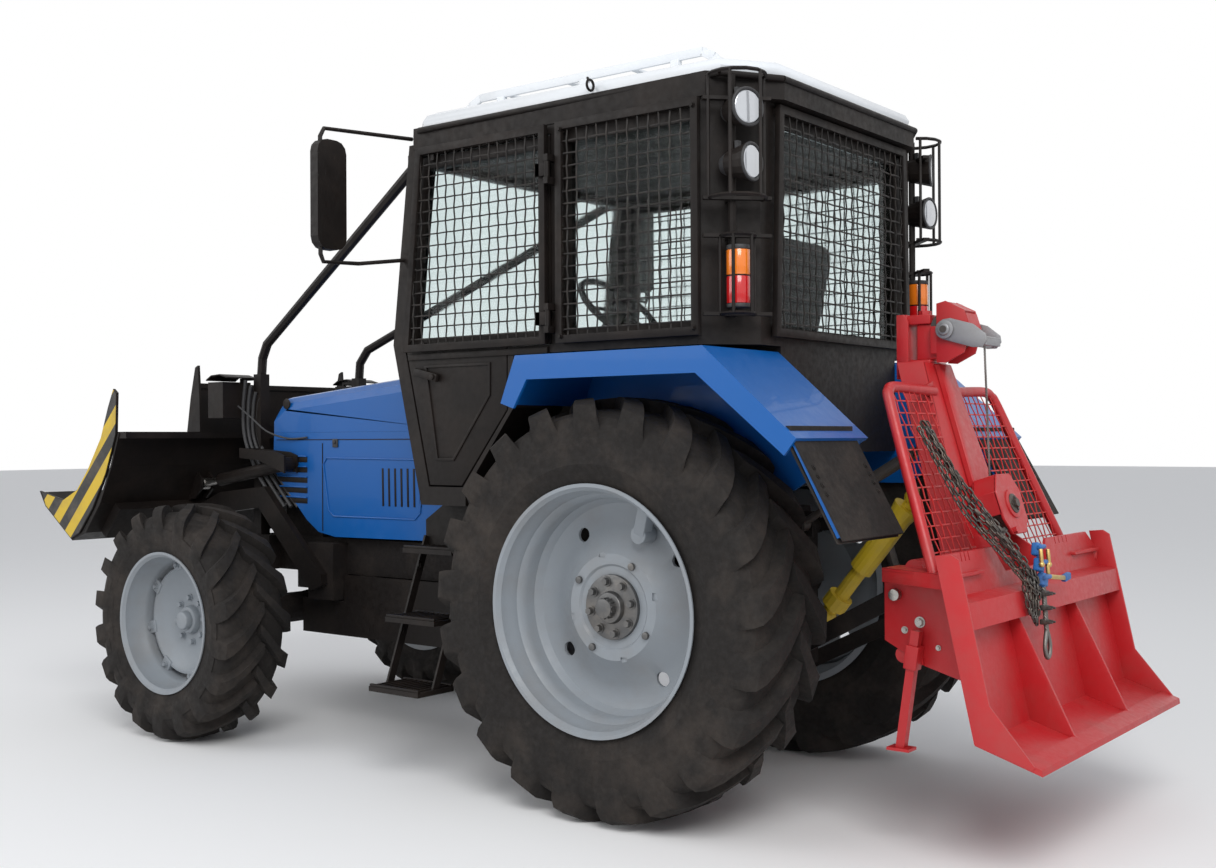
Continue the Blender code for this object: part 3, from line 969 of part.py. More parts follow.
def make_winch_pieces():
    hinge = (PIN_X, 0, PIN_Z)
    drum = rod((-1.130, -0.28, 0.790), (-1.130, 0.28, 0.790), 0.110, 18)
    reach = CHEEK_Y - 0.006 - 0.0005
    shaft = rod((-1.130, -reach, 0.790), (-1.130, reach, 0.790), 0.030, 12)
    case = box((-0.965, -0.900), (-0.085, 0.085), (0.730, 1.235))
    neck = box((-1.120, -0.940), (-0.070, 0.070), (0.740, 0.860))
    stub = rod((PTO_END_X - PTO_BALL_R - 0.017, 0, PTO_END_Z), (-0.940, 0, PTO_END_Z), 0.030, 12)
    node("winch_drum", join(drum, shaft, case, neck, stub), "cast_black", hinge)

    way = Vector((MAST_TOP[0] - MAST_LOW[0], 0, MAST_TOP[1] - MAST_LOW[1])).normalized()
    out = Vector((-way.z, 0, way.x))
    share = (1.135 - MAST_LOW[1]) / (MAST_TOP[1] - MAST_LOW[1])
    seat = Vector((MAST_LOW[0] + (MAST_TOP[0] - MAST_LOW[0]) * share, 0, 1.135)) + out * 0.0006
    plates = [rod(tuple(seat + out * low), tuple(seat + out * high), 0.112, 8) for low, high in
              ((0.0, 0.010), (0.070, 0.080))]
    sheave = rod(tuple(seat), tuple(seat + out * 0.092), 0.072, 16)
    node("lower_pulley", join(sheave, *plates), "red_paint", hinge)

    swivel = (-0.887, 0, 1.736)
    octagon = [(-0.955, 1.658), (-0.990, 1.655), (-1.060, 1.690), (-1.085, 1.770), (-1.060, 1.845),
               (-0.990, 1.880), (-0.955, 1.872)]
    plates = [plate("xz", [octagon], y, y + 0.010) for y in (-0.055, 0.045)]
    block = box((-0.945, -0.868), (-0.030, 0.030), (1.6716, 1.8004))
    web = box((-0.975, -0.930), (-0.054, 0.054), (1.690, 1.790))
    wheel = rod((-0.995, -0.050, 1.775), (-0.995, 0.050, 1.775), 0.066, 16)
    pin = rod((-0.995, -0.0604, 1.775), (-0.995, 0.0604, 1.775), 0.018, 12)
    node("winch_head", join(block, web, wheel, pin, *plates), "red_paint", swivel)

    arm = [(-0.985, 1.812), (-1.090, 1.800), (-1.150, 1.765), (-1.150, 1.715), (-1.125, 1.705),
           (-0.985, 1.742), (-0.965, 1.760), (-0.965, 1.795)]
    sides = [plate("xz", [arm], *sorted((s * 0.061, s * 0.068))) for _, s in SIDES]
    tie = box((-1.148, -1.126), (-0.065, 0.065), (1.712, 1.745))
    node("pulley_arm", join(tie, *sides), "steel", (-0.995, 0, 1.775))

    for name, sign in SIDES:
        leg = beam(leg_point(sign, 0.0), leg_point(sign, LEG_LENGTH), 0.030, 0.030)
        x, y, z = leg_point(sign, 0.0)
        foot = box((x - 0.040, x + 0.040), (y - 0.030, y + 0.030), (z - 0.006, z + 0.004))
        node(f"stand_leg_{name}", join(leg, foot), "red_paint", (x, y, z))


# Build ------------------------------------------------------------------------------------
make_wheels()
make_chassis()
make_front_axle()
make_hood()
make_cab()
make_glazing()
make_doors_and_guards()
make_roof()
make_interior()
make_fenders()
make_steps()
make_rear_lamps()
make_mirrors()
make_front_guard()
make_blade()
make_blade_arms()
make_cylinders()
make_hitch()
make_pto_shaft()
make_winch()
make_winch_pieces()
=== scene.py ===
"""Looks of the forestry skidder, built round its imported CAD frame."""

import json
import math
import random

import bmesh
import bpy
from mathutils import Euler, Matrix, Vector


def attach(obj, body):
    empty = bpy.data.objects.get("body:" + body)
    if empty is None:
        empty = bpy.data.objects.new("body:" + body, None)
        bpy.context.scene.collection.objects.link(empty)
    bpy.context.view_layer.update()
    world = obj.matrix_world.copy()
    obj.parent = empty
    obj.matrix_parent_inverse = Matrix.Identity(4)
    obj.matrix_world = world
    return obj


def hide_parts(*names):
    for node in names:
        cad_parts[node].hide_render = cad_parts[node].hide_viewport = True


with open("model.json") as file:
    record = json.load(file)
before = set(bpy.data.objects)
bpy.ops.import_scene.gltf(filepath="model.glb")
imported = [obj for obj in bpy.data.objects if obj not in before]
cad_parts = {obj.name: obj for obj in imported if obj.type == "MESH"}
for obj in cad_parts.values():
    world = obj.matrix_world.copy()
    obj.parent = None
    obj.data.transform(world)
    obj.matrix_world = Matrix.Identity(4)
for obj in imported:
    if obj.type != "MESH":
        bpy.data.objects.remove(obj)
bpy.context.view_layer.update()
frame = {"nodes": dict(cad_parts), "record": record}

CAMERA_AT = (-4.0728, 4.747, 1.3861)
CAMERA_YAW, CAMERA_PITCH, CAMERA_ROLL = -52.15, 0.2, -0.29
LENS, SENSOR = 40.84, 36.0

scene = bpy.context.scene


# Camera, floor and light -------------------------------------------------------------------
def add_camera():
    data = bpy.data.cameras.new("camera")
    data.lens, data.sensor_width = LENS, SENSOR
    camera = bpy.data.objects.new("camera", data)
    scene.collection.objects.link(camera)
    scene.camera = camera
    yaw, pitch = math.radians(CAMERA_YAW), math.radians(CAMERA_PITCH)
    way = Vector((math.cos(yaw) * math.cos(pitch), math.sin(yaw) * math.cos(pitch), math.sin(pitch)))
    turn = way.to_track_quat("-Z", "Y").to_matrix() @ Matrix.Rotation(math.radians(CAMERA_ROLL), 3, "Z")
    camera.matrix_world = Matrix.Translation(CAMERA_AT) @ turn.to_4x4()


def area_light(name, place, target, size, power):
    data = bpy.data.lights.new(name, "AREA")
    data.size, data.energy = size, power
    lamp = bpy.data.objects.new(name, data)
    scene.collection.objects.link(lamp)
    way = Vector(target) - Vector(place)
    lamp.matrix_world = Matrix.Translation(place) @ way.to_track_quat("-Z", "Y").to_matrix().to_4x4()


def show_background(world):
    """What the camera, gloss and glass see beyond the floor is white; the world's own light stays soft."""
    nodes, links = world.node_tree.nodes, world.node_tree.links
    path, white, mix = (nodes.new(kind) for kind in
                        ("ShaderNodeLightPath", "ShaderNodeBackground", "ShaderNodeMixShader"))
    white.inputs["Color"].default_value = (1, 1, 1, 1)
    seen = path.outputs["Is Camera Ray"]
    for name in ("Is Glossy Ray", "Is Transmission Ray"):
        either = nodes.new("ShaderNodeMath")
        either.operation = "MAXIMUM"
        links.new(seen, either.inputs[0])
        links.new(path.outputs[name], either.inputs[1])
        seen = either.outputs["Value"]
    links.new(seen, mix.inputs["Fac"])
    links.new(nodes["Background"].outputs["Background"], mix.inputs[1])
    links.new(white.outputs["Background"], mix.inputs[2])
    links.new(mix.outputs["Shader"], nodes["World Output"].inputs["Surface"])


def add_studio():
    bpy.ops.mesh.primitive_plane_add(size=120)
    floor = bpy.context.active_object
    floor.name = "floor"
    made = bpy.data.materials.new("floor")
    made.use_nodes = True
    shader = made.node_tree.nodes["Principled BSDF"]
    shader.inputs["Base Color"].default_value = (0.93, 0.93, 0.925, 1)
    shader.inputs["Roughness"].default_value = 0.85
    floor.data.materials.append(made)
    world = bpy.data.worlds.new("studio")
    scene.world = world
    world.use_nodes = True
    back = world.node_tree.nodes["Background"]
    back.inputs["Color"].default_value = (0.93, 0.95, 1.0, 1)
    back.inputs["Strength"].default_value = 0.55
    show_background(world)
    area_light("key", (-6.0, 6.0, 7.0), (0, 0, 1.0), 5.0, 560)
    area_light("fill", (6.0, 7.0, 5.0), (0.5, 0, 1.0), 6.0, 200)
    scene.view_settings.view_transform = "Standard"


# Materials ---------------------------------------------------------------------------------
class Nodes:
    """Builds one material's node tree with short calls."""

    def __init__(self, name):
        self.material = bpy.data.materials.new(name)
        self.material.use_nodes = True
        self.tree = self.material.node_tree
        self.shader = self.tree.nodes["Principled BSDF"]

    def add(self, kind, **settings):
        made = self.tree.nodes.new(kind)
        for key, value in settings.items():
            setattr(made, key, value)
        return made

    def link(self, a, b):
        self.tree.links.new(a, b)

    def noise(self, scale, detail=4.0, rough=0.6):
        place = self.add("ShaderNodeTexCoord")
        made = self.add("ShaderNodeTexNoise")
        made.inputs["Scale"].default_value = scale
        made.inputs["Detail"].default_value = detail
        made.inputs["Roughness"].default_value = rough
        self.link(place.outputs["Object"], made.inputs["Vector"])
        return made.outputs["Fac"]

    def ramp(self, value, low, high, first, last):
        made = self.add("ShaderNodeMapRange")
        for key, number in (("From Min", low), ("From Max", high), ("To Min", first), ("To Max", last)):
            made.inputs[key].default_value = number
        self.link(value, made.inputs["Value"])
        return made.outputs["Result"]

    def mix(self, factor, a, b):
        made = self.add("ShaderNodeMix", data_type="RGBA")
        self.link(factor, made.inputs["Factor"])
        for name, colour in (("A", a), ("B", b)):
            socket = [s for s in made.inputs if s.name == name and s.type == "RGBA"][0]
            if isinstance(colour, tuple):
                socket.default_value = (*colour, 1)
            else:
                self.link(colour, socket)
        return [s for s in made.outputs if s.type == "RGBA"][0]

    def bump(self, height, strength, distance):
        made = self.add("ShaderNodeBump")
        made.inputs["Strength"].default_value = strength
        made.inputs["Distance"].default_value = distance
        self.link(height, made.inputs["Height"])
        self.link(made.outputs["Normal"], self.shader.inputs["Normal"])


def worn(name, colour, dirt, roughness, metallic=0.0, scale=3.0, amount=0.35, bump=0.15, coat=0.0,
         specular=0.5):
    """Paint or metal with patches of dust, fine speckle and an uneven sheen."""
    made = Nodes(name)
    patches = made.ramp(made.noise(scale, 6.0, 0.65), 0.45, 0.75, 0.0, amount)
    made.link(made.mix(patches, colour, dirt), made.shader.inputs["Base Color"])
    sheen = made.ramp(made.noise(scale * 9), 0.3, 0.7, roughness * 0.85, min(1.0, roughness * 1.25))
    made.link(sheen, made.shader.inputs["Roughness"])
    made.shader.inputs["Metallic"].default_value = metallic
    made.shader.inputs["Coat Weight"].default_value = coat
    made.shader.inputs["Specular IOR Level"].default_value = specular
    made.bump(made.noise(scale * 40, 3.0), bump, 0.002)
    return made.material


DUST = (0.30, 0.26, 0.21)
LOOKS = {
    "tyre": worn("tyre_rubber", (0.017, 0.015, 0.014), (0.075, 0.060, 0.050), 0.85, 0, 5.0, 0.5, 0.4,
                 specular=0.25),
    "rim_paint": worn("rim_paint", (0.25, 0.275, 0.30), (0.20, 0.17, 0.14), 0.45, 0, 4.0, 0.35, 0.15),
    "blue_paint": worn("blue_paint", (0.0025, 0.095, 0.350), (0.03, 0.10, 0.23), 0.34, 0, 2.0, 0.10, 0.05, 0.15,
                       specular=0.35),
    "black_paint": worn("black_paint", (0.0075, 0.0055, 0.0048), (0.045, 0.032, 0.025), 0.50, 0, 4.0, 0.30, 0.15,
                        specular=0.22),
    "cast_black": worn("cast_black", (0.008, 0.006, 0.0055), (0.05, 0.038, 0.030), 0.70, 0, 6.0, 0.35, 0.5,
                       specular=0.22),
    "white_roof": worn("white_roof", (0.74, 0.77, 0.80), (0.50, 0.48, 0.44), 0.35, 0, 2.0, 0.25, 0.05, 0.3),
    "red_paint": worn("red_paint", (0.46, 0.014, 0.018), (0.30, 0.07, 0.06), 0.40, 0, 5.0, 0.40, 0.2),
    "yellow_guard": worn("yellow_guard", (0.62, 0.44, 0.02), (0.30, 0.22, 0.08), 0.50, 0, 8.0, 0.4, 0.2),
    "steel": worn("bright_steel", (0.42, 0.41, 0.39), (0.20, 0.16, 0.12), 0.30, 1.0, 8.0, 0.3, 0.2),
    "dark_steel": worn("dark_steel", (0.10, 0.09, 0.085), (0.16, 0.11, 0.07), 0.50, 0.8, 8.0, 0.4, 0.3),
    "seat_cloth": worn("seat_cloth", (0.030, 0.030, 0.032), (0.06, 0.06, 0.06), 0.95, 0, 30.0, 0.4, 0.6),
    "dark_plastic": worn("dark_plastic", (0.030, 0.030, 0.032), (0.06, 0.055, 0.05), 0.55, 0, 12.0, 0.3, 0.3),
}


def glass_look():
    made = Nodes("window_glass")
    made.shader.inputs["Base Color"].default_value = (0.80, 0.86, 0.86, 1)
    made.shader.inputs["Transmission Weight"].default_value = 1.0
    made.shader.inputs["IOR"].default_value = 1.15
    made.link(made.ramp(made.noise(6.0), 0.4, 0.7, 0.02, 0.12), made.shader.inputs["Roughness"])
    return made.material


LOOKS["glass"] = glass_look()
LOOKS["wire"] = worn("guard_wire", (0.010, 0.008, 0.007), (0.06, 0.045, 0.035), 0.45, 0.3, 9.0, 0.35, 0.2)
LOOKS["hub_metal"] = worn("hub_metal", (0.13, 0.13, 0.13), (0.34, 0.30, 0.26), 0.38, 0.85, 9.0, 0.5, 0.3)
LOOKS["red_wire"] = worn("red_net_wire", (0.50, 0.016, 0.016), (0.25, 0.06, 0.04), 0.40, 0, 9.0, 0.4, 0.2)
LOOKS["zinc"] = worn("zinc_plate", (0.30, 0.30, 0.31), (0.18, 0.15, 0.12), 0.45, 0.7, 9.0, 0.35, 0.2)
LOOKS["chain_steel"] = worn("chain_steel", (0.095, 0.088, 0.082), (0.20, 0.13, 0.08), 0.38, 0.85, 14.0, 0.5, 0.3)
LOOKS["wire_rope"] = worn("wire_rope", (0.20, 0.19, 0.18), (0.14, 0.11, 0.08), 0.45, 0.8, 20.0, 0.5, 0.3)
LOOKS["blue_fitting"] = worn("blue_fitting", (0.02, 0.14, 0.42), (0.12, 0.10, 0.09), 0.45, 0.1, 16.0, 0.5, 0.3)
LOOKS["brass_fitting"] = worn("brass_fitting", (0.62, 0.44, 0.16), (0.24, 0.17, 0.09), 0.35, 0.9, 16.0, 0.4, 0.2)
LOOKS["lamp_glass"] = worn("lamp_glass", (0.55, 0.57, 0.60), (0.40, 0.40, 0.40), 0.10, 0.4, 8.0, 0.2, 0.05, 0.8)
LOOKS["orange_lens"] = worn("orange_lens", (0.85, 0.20, 0.01), (0.45, 0.15, 0.05), 0.18, 0, 6.0, 0.15, 0.05, 0.8)
LOOKS["red_lens"] = worn("red_lens", (0.55, 0.006, 0.008), (0.25, 0.03, 0.02), 0.18, 0, 6.0, 0.15, 0.05, 0.8)


def hazard_look():
    made = Nodes("hazard_stripes")
    place = made.add("ShaderNodeTexCoord")
    split = made.add("ShaderNodeSeparateXYZ")
    made.link(place.outputs["Object"], split.inputs["Vector"])
    total = made.add("ShaderNodeMath", operation="ADD")
    made.link(split.outputs["X"], total.inputs[0])
    made.link(split.outputs["Z"], total.inputs[1])
    wave = made.add("ShaderNodeMath", operation="PINGPONG")
    made.link(total.outputs["Value"], wave.inputs[0])
    wave.inputs[1].default_value = 0.085
    stripes = made.ramp(wave.outputs["Value"], 0.0415, 0.0435, 0.0, 1.0)
    paint = made.mix(stripes, (0.62, 0.42, 0.02), (0.015, 0.014, 0.013))
    patches = made.ramp(made.noise(7.0, 6.0, 0.65), 0.45, 0.75, 0.0, 0.45)
    made.link(made.mix(patches, paint, (0.16, 0.13, 0.10)), made.shader.inputs["Base Color"])
    made.link(made.ramp(made.noise(40.0), 0.3, 0.7, 0.35, 0.6), made.shader.inputs["Roughness"])
    return made.material


LOOKS["hazard"] = hazard_look()


# Shapes ------------------------------------------------------------------------------------
SHIFT = Vector((-0.985, 0, 0))  # the builder functions below measure X from the rear axle
SIDES = (("left", 1), ("right", -1))
FLAT = {
    "xz": Matrix(((1, 0, 0, 0), (0, 0, -1, 0), (0, 1, 0, 0), (0, 0, 0, 1))),
    "yz": Matrix(((0, 0, 1, 0), (1, 0, 0, 0), (0, 1, 0, 0), (0, 0, 0, 1))),
    "xy": Matrix.Identity(4),
}
FLAT_AXIS = {"xz": 1, "yz": 0, "xy": 2}


class Shape:
    """Gathers simple forms into one mesh, then turns it into a piece that rides on a body."""

    def __init__(self):
        self.bm = bmesh.new()

    def add_mesh(self, mesh, matrix=Matrix.Identity(4)):
        mesh.transform(matrix)
        self.bm.from_mesh(mesh)
        bpy.data.meshes.remove(mesh)
        return self

    def box(self, x, y, z, bevel=0.0, turn=None):
        part = bmesh.new()
        bmesh.ops.create_cube(part, size=1.0)
        size = Vector((abs(x[1] - x[0]), abs(y[1] - y[0]), abs(z[1] - z[0])))
        centre = Vector((sum(x), sum(y), sum(z))) / 2
        bmesh.ops.scale(part, vec=size, verts=part.verts)
        if bevel:
            bmesh.ops.bevel(part, geom=part.edges[:], offset=bevel, segments=3, profile=0.5, affect="EDGES")
        if turn is not None:
            bmesh.ops.transform(part, matrix=turn, verts=part.verts)
        bmesh.ops.translate(part, vec=centre, verts=part.verts)
        return self.take(part)

    def take(self, part):
        mesh = bpy.data.meshes.new("part")
        bmesh.ops.recalc_face_normals(part, faces=part.faces)
        part.to_mesh(mesh)
        part.free()
        return self.add_mesh(mesh)

    def rod(self, a, b, radius, sides=16, end=None, bevel=0.0):
        part = bmesh.new()
        a, b = Vector(a), Vector(b)
        way = b - a
        turn = way.to_track_quat("Z", "Y").to_matrix().to_4x4()
        bmesh.ops.create_cone(
            part, cap_ends=True, segments=sides, radius1=radius, radius2=radius if end is None else end,
            depth=way.length, matrix=Matrix.Translation((a + b) / 2) @ turn,
        )
        if bevel:
            rims = [e for e in part.edges if any(len(f.verts) > 4 for f in e.link_faces)]
            bmesh.ops.bevel(part, geom=rims, offset=bevel, segments=2, profile=0.5, affect="EDGES")
        return self.take(part)

    def bar(self, a, b, width, height, bevel=0.0):
        """A square bar from a to b; height lies in the upright plane through it."""
        a, b = Vector(a), Vector(b)
        way = (b - a).normalized()
        side = Vector((0, 1, 0)) if abs(way.y) < 0.9 else Vector((1, 0, 0))
        up = way.cross(side).normalized()
        side = up.cross(way)
        turn = Matrix((up, side, way)).transposed().to_4x4()
        part = bmesh.new()
        bmesh.ops.create_cube(part, size=1.0)
        bmesh.ops.scale(part, vec=(height, width, (b - a).length), verts=part.verts)
        if bevel:
            bmesh.ops.bevel(part, geom=part.edges[:], offset=bevel, segments=2, profile=0.5, affect="EDGES")
        bmesh.ops.transform(part, matrix=Matrix.Translation((a + b) / 2) @ turn, verts=part.verts)
        return self.take(part)

    def plate(self, plane, outlines, low, high, bevel=0.0):
        """A flat sheet with one outline and any holes, spanning low to high across its plane."""
        low, high = sorted((low, high))
        curve = bpy.data.curves.new("plate", "CURVE")
        curve.dimensions, curve.fill_mode = "2D", "BOTH"
        curve.extrude = (high - low) / 2 - bevel
        curve.bevel_depth, curve.bevel_resolution = bevel, 1
        curve.offset = -bevel
        for outline in outlines:
            spline = curve.splines.new("POLY")
            spline.points.add(len(outline) - 1)
            for point, (first, second) in zip(spline.points, outline):
                point.co = (first, second, 0.0, 1.0)
            spline.use_cyclic_u = True
        made = bpy.data.objects.new("plate", curve)
        scene.collection.objects.link(made)
        bpy.context.view_layer.update()
        mesh = bpy.data.meshes.new_from_object(made.evaluated_get(bpy.context.evaluated_depsgraph_get()))
        bpy.data.objects.remove(made, do_unlink=True)
        move = Vector((0, 0, 0))
        move[FLAT_AXIS[plane]] = (low + high) / 2
        return self.add_mesh(mesh, Matrix.Translation(move) @ FLAT[plane])

    def tube(self, points, radius, sides=8, cyclic=False, caps=True):
        """A round bar along a line of points, with its rings carried along without twist."""
        points = [Vector(p) for p in points]
        count = len(points)
        ways = []
        for i in range(count):
            before = points[i - 1] if (i or cyclic) else points[i]
            after = points[(i + 1) % count] if (i < count - 1 or cyclic) else points[i]
            ways.append((after - before).normalized())
        normal = ways[0].orthogonal().normalized()
        rings = []
        for i, way in enumerate(ways):
            normal = (normal - way * normal.dot(way)).normalized()
            side = way.cross(normal)
            rings.append([self.bm.verts.new(points[i] + (normal * math.cos(a) + side * math.sin(a)) * radius)
                          for a in (math.tau * k / sides for k in range(sides))])
        pairs = list(zip(rings, rings[1:])) + ([(rings[-1], rings[0])] if cyclic else [])
        for one, two in pairs:
            for k in range(sides):
                self.bm.faces.new((one[k], one[(k + 1) % sides], two[(k + 1) % sides], two[k]))
        if caps and not cyclic:
            self.bm.faces.new(rings[0][::-1])
            self.bm.faces.new(rings[-1])
        return self

    def lathe(self, profile, centre, steps=64, sign=1):
        """A closed (radius, offset) profile turned round a line along Y through centre."""
        rings = []
        for k in range(steps):
            a = math.tau * k / steps
            rings.append([self.bm.verts.new((centre[0] + r * math.sin(a), centre[1] + sign * off,
                                             centre[2] + r * math.cos(a))) for r, off in profile])
        count = len(profile)
        for k in range(steps):
            one, two = rings[k], rings[(k + 1) % steps]
            for i in range(count):
                j = (i + 1) % count
                if profile[i][0] < 1e-6 and profile[j][0] < 1e-6:
                    continue
                self.bm.faces.new((one[i], one[j], two[j], two[i]))
        return self

    def ring(self, centre, axis, radius, thick, steps=32, sides=8):
        axis = Vector(axis).normalized()
        first = axis.orthogonal().normalized()
        second = axis.cross(first)
        points = [Vector(centre) + (first * math.cos(a) + second * math.sin(a)) * radius
                  for a in (math.tau * k / steps for k in range(steps))]
        return self.tube(points, thick, sides, True)

    def ball(self, centre, radius, scale=(1, 1, 1)):
        part = bmesh.new()
        bmesh.ops.create_uvsphere(part, u_segments=20, v_segments=12, radius=radius)
        bmesh.ops.scale(part, vec=scale, verts=part.verts)
        bmesh.ops.translate(part, vec=Vector(centre), verts=part.verts)
        return self.take(part)

    def bolt(self, place, axis, radius=0.012, height=0.010):
        """A hexagon head on a washer."""
        place, axis = Vector(place), Vector(axis).normalized()
        self.rod(place, place + axis * 0.003, radius * 1.35, 16)
        return self.rod(place + axis * 0.003, place + axis * (0.003 + height), radius, 6, radius * 0.93)

    def cut(self, cutter):
        """Takes another shape away from this one."""
        objects = []
        for shape in (self, cutter):
            mesh = bpy.data.meshes.new("boolean")
            bmesh.ops.remove_doubles(shape.bm, verts=shape.bm.verts, dist=1e-6)
            bmesh.ops.recalc_face_normals(shape.bm, faces=shape.bm.faces)
            shape.bm.to_mesh(mesh)
            made = bpy.data.objects.new("boolean", mesh)
            scene.collection.objects.link(made)
            objects.append(made)
        body, tool = objects
        modifier = body.modifiers.new("cut", "BOOLEAN")
        modifier.operation, modifier.object = "DIFFERENCE", tool
        bpy.context.view_layer.update()
        mesh = bpy.data.meshes.new_from_object(body.evaluated_get(bpy.context.evaluated_depsgraph_get()))
        for made in objects:
            bpy.data.objects.remove(made, do_unlink=True)
        self.bm.free()
        self.bm = bmesh.new()
        return self.add_mesh(mesh)

    def piece(self, name, look, body, slot=None, angle=38, nodes=()):
        """Makes the object, shades it and ties it to its body."""
        bmesh.ops.remove_doubles(self.bm, verts=self.bm.verts, dist=1e-6)
        bmesh.ops.recalc_face_normals(self.bm, faces=self.bm.faces)
        bmesh.ops.translate(self.bm, vec=SHIFT, verts=self.bm.verts)
        mesh = bpy.data.meshes.new(name)
        self.bm.to_mesh(mesh)
        self.bm.free()
        mesh.polygons.foreach_set("use_smooth", [True] * len(mesh.polygons))
        mesh.set_sharp_from_angle(angle=math.radians(angle))
        mesh.materials.append(LOOKS[look])
        made = bpy.data.objects.new(name, mesh)
        scene.collection.objects.link(made)
        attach(made, body)
        if nodes:
            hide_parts(*nodes)
        return made


def woven(shape, plane, outline, level, pitch, radius, wave=None, offset=(0.0, 0.0)):
    """A woven wire mesh that fills a convex outline, lying at one level across its plane."""
    wave = radius * 0.9 if wave is None else wave
    place = {"xz": lambda a, b, c: (a, c, b), "yz": lambda a, b, c: (c, a, b)}[plane]
    for axis in (0, 1):
        low = min(p[axis] for p in outline)
        high = max(p[axis] for p in outline)
        first = math.ceil((low - offset[axis] + radius) / pitch)
        last = math.floor((high - offset[axis] - radius) / pitch)
        for i in range(first, last + 1):
            at = offset[axis] + i * pitch
            cuts = []
            for p, q in zip(outline, outline[1:] + outline[:1]):
                if (p[axis] - at) * (q[axis] - at) < 0:
                    share = (at - p[axis]) / (q[axis] - p[axis])
                    cuts.append(p[1 - axis] + (q[1 - axis] - p[1 - axis]) * share)
            if len(cuts) < 2 or max(cuts) - min(cuts) < pitch / 2:
                continue
            start, stop = min(cuts), max(cuts)
            other = offset[1 - axis]
            marks = [other + (k / 2) * pitch for k in range(math.ceil((start - other) / pitch * 2),
                                                           math.floor((stop - other) / pitch * 2) + 1)]
            line = []
            for mark in [start] + marks + [stop]:
                k = (mark - other) / pitch
                height = wave * math.cos(math.pi * (k + i)) * (1 if axis else -1)
                where = (at, mark) if axis == 0 else (mark, at)
                line.append(place(*where, level + height))
            shape.tube(line, radius, 6)
    return shape


# Wheels ------------------------------------------------------------------------------------
def tyre(name, x, y, radius, half, rim, lugs, lug_height, sweep, sign, body):
    base = radius - lug_height
    side = [(base, 0.0), (base - 0.003, half * 0.50), (base - 0.012, half * 0.74), (base - 0.030, half * 0.87),
            (base - 0.062, half * 0.945), (base - 0.10, half * 0.965), ((base + rim) / 2 + 0.02, half * 0.972),
            (rim + 0.085, half * 0.955), (rim + 0.070, half * 0.962), (rim + 0.062, half * 0.945),
            (rim + 0.040, half * 0.905), (rim + 0.016, half * 0.86), (rim + 0.004, half * 0.85),
            (rim - 0.016, half * 0.80)]
    inner = [(rim - 0.016, -half * 0.80)]
    profile = side + inner + [(r, -off) for r, off in side[:0:-1]][1:]
    shape = Shape().lathe(profile, (x, y, radius), 96, sign)
    rows = (  # offset and radius of the lug's top, then of its foot, then sweep share and width
        (-0.07, radius - 0.002, -0.07, base - 0.012, 0.00, 0.030),
        (0.12, radius, 0.12, base - 0.012, 0.20, 0.034),
        (0.36, radius - 0.001, 0.36, base - 0.014, 0.46, 0.036),
        (0.62, radius - 0.004, 0.60, base - 0.022, 0.70, 0.040),
        (0.84, radius - 0.012, 0.80, base - 0.040, 0.86, 0.046),
        (0.965, radius - 0.030, 0.90, base - 0.070, 0.95, 0.050),
        (0.998, radius - 0.062, 0.93, base - 0.095, 0.985, 0.052),
        (0.995, radius - 0.105, 0.93, base - 0.115, 1.00, 0.048),
        (0.965, radius - 0.150, 0.93, base - 0.130, 1.01, 0.040),
    )
    scale = radius / 0.77
    for hand in (1, -1):
        for i in range(lugs):
            start = math.tau * (i + (0.5 if hand < 0 else 0.0)) / lugs
            rings = []
            for top_off, top_r, foot_off, foot_r, share, width in rows:
                ring = []
                for off, r, w in ((foot_off, foot_r, width + 0.014), (top_off, top_r, width),
                                  (top_off, top_r, -width), (foot_off, foot_r, -width - 0.014)):
                    a = start - sweep * share + w * scale / r
                    ring.append(shape.bm.verts.new((x + r * math.sin(a), y + hand * off * half, radius + r * math.cos(a))))
                rings.append(ring)
            for one, two in zip(rings, rings[1:]):
                for k in range(3):
                    shape.bm.faces.new((one[k], one[k + 1], two[k + 1], two[k]))
            shape.bm.faces.new(rings[0][::-1])
            shape.bm.faces.new(rings[-1])
    shape.piece(f"{name}_tread", "tyre", body, nodes=[name], angle=30)


def circle_at(x, z, radius, count, start=0.0):
    for i in range(count):
        a = start + math.tau * i / count
        yield a, x + radius * math.sin(a), z + radius * math.cos(a)


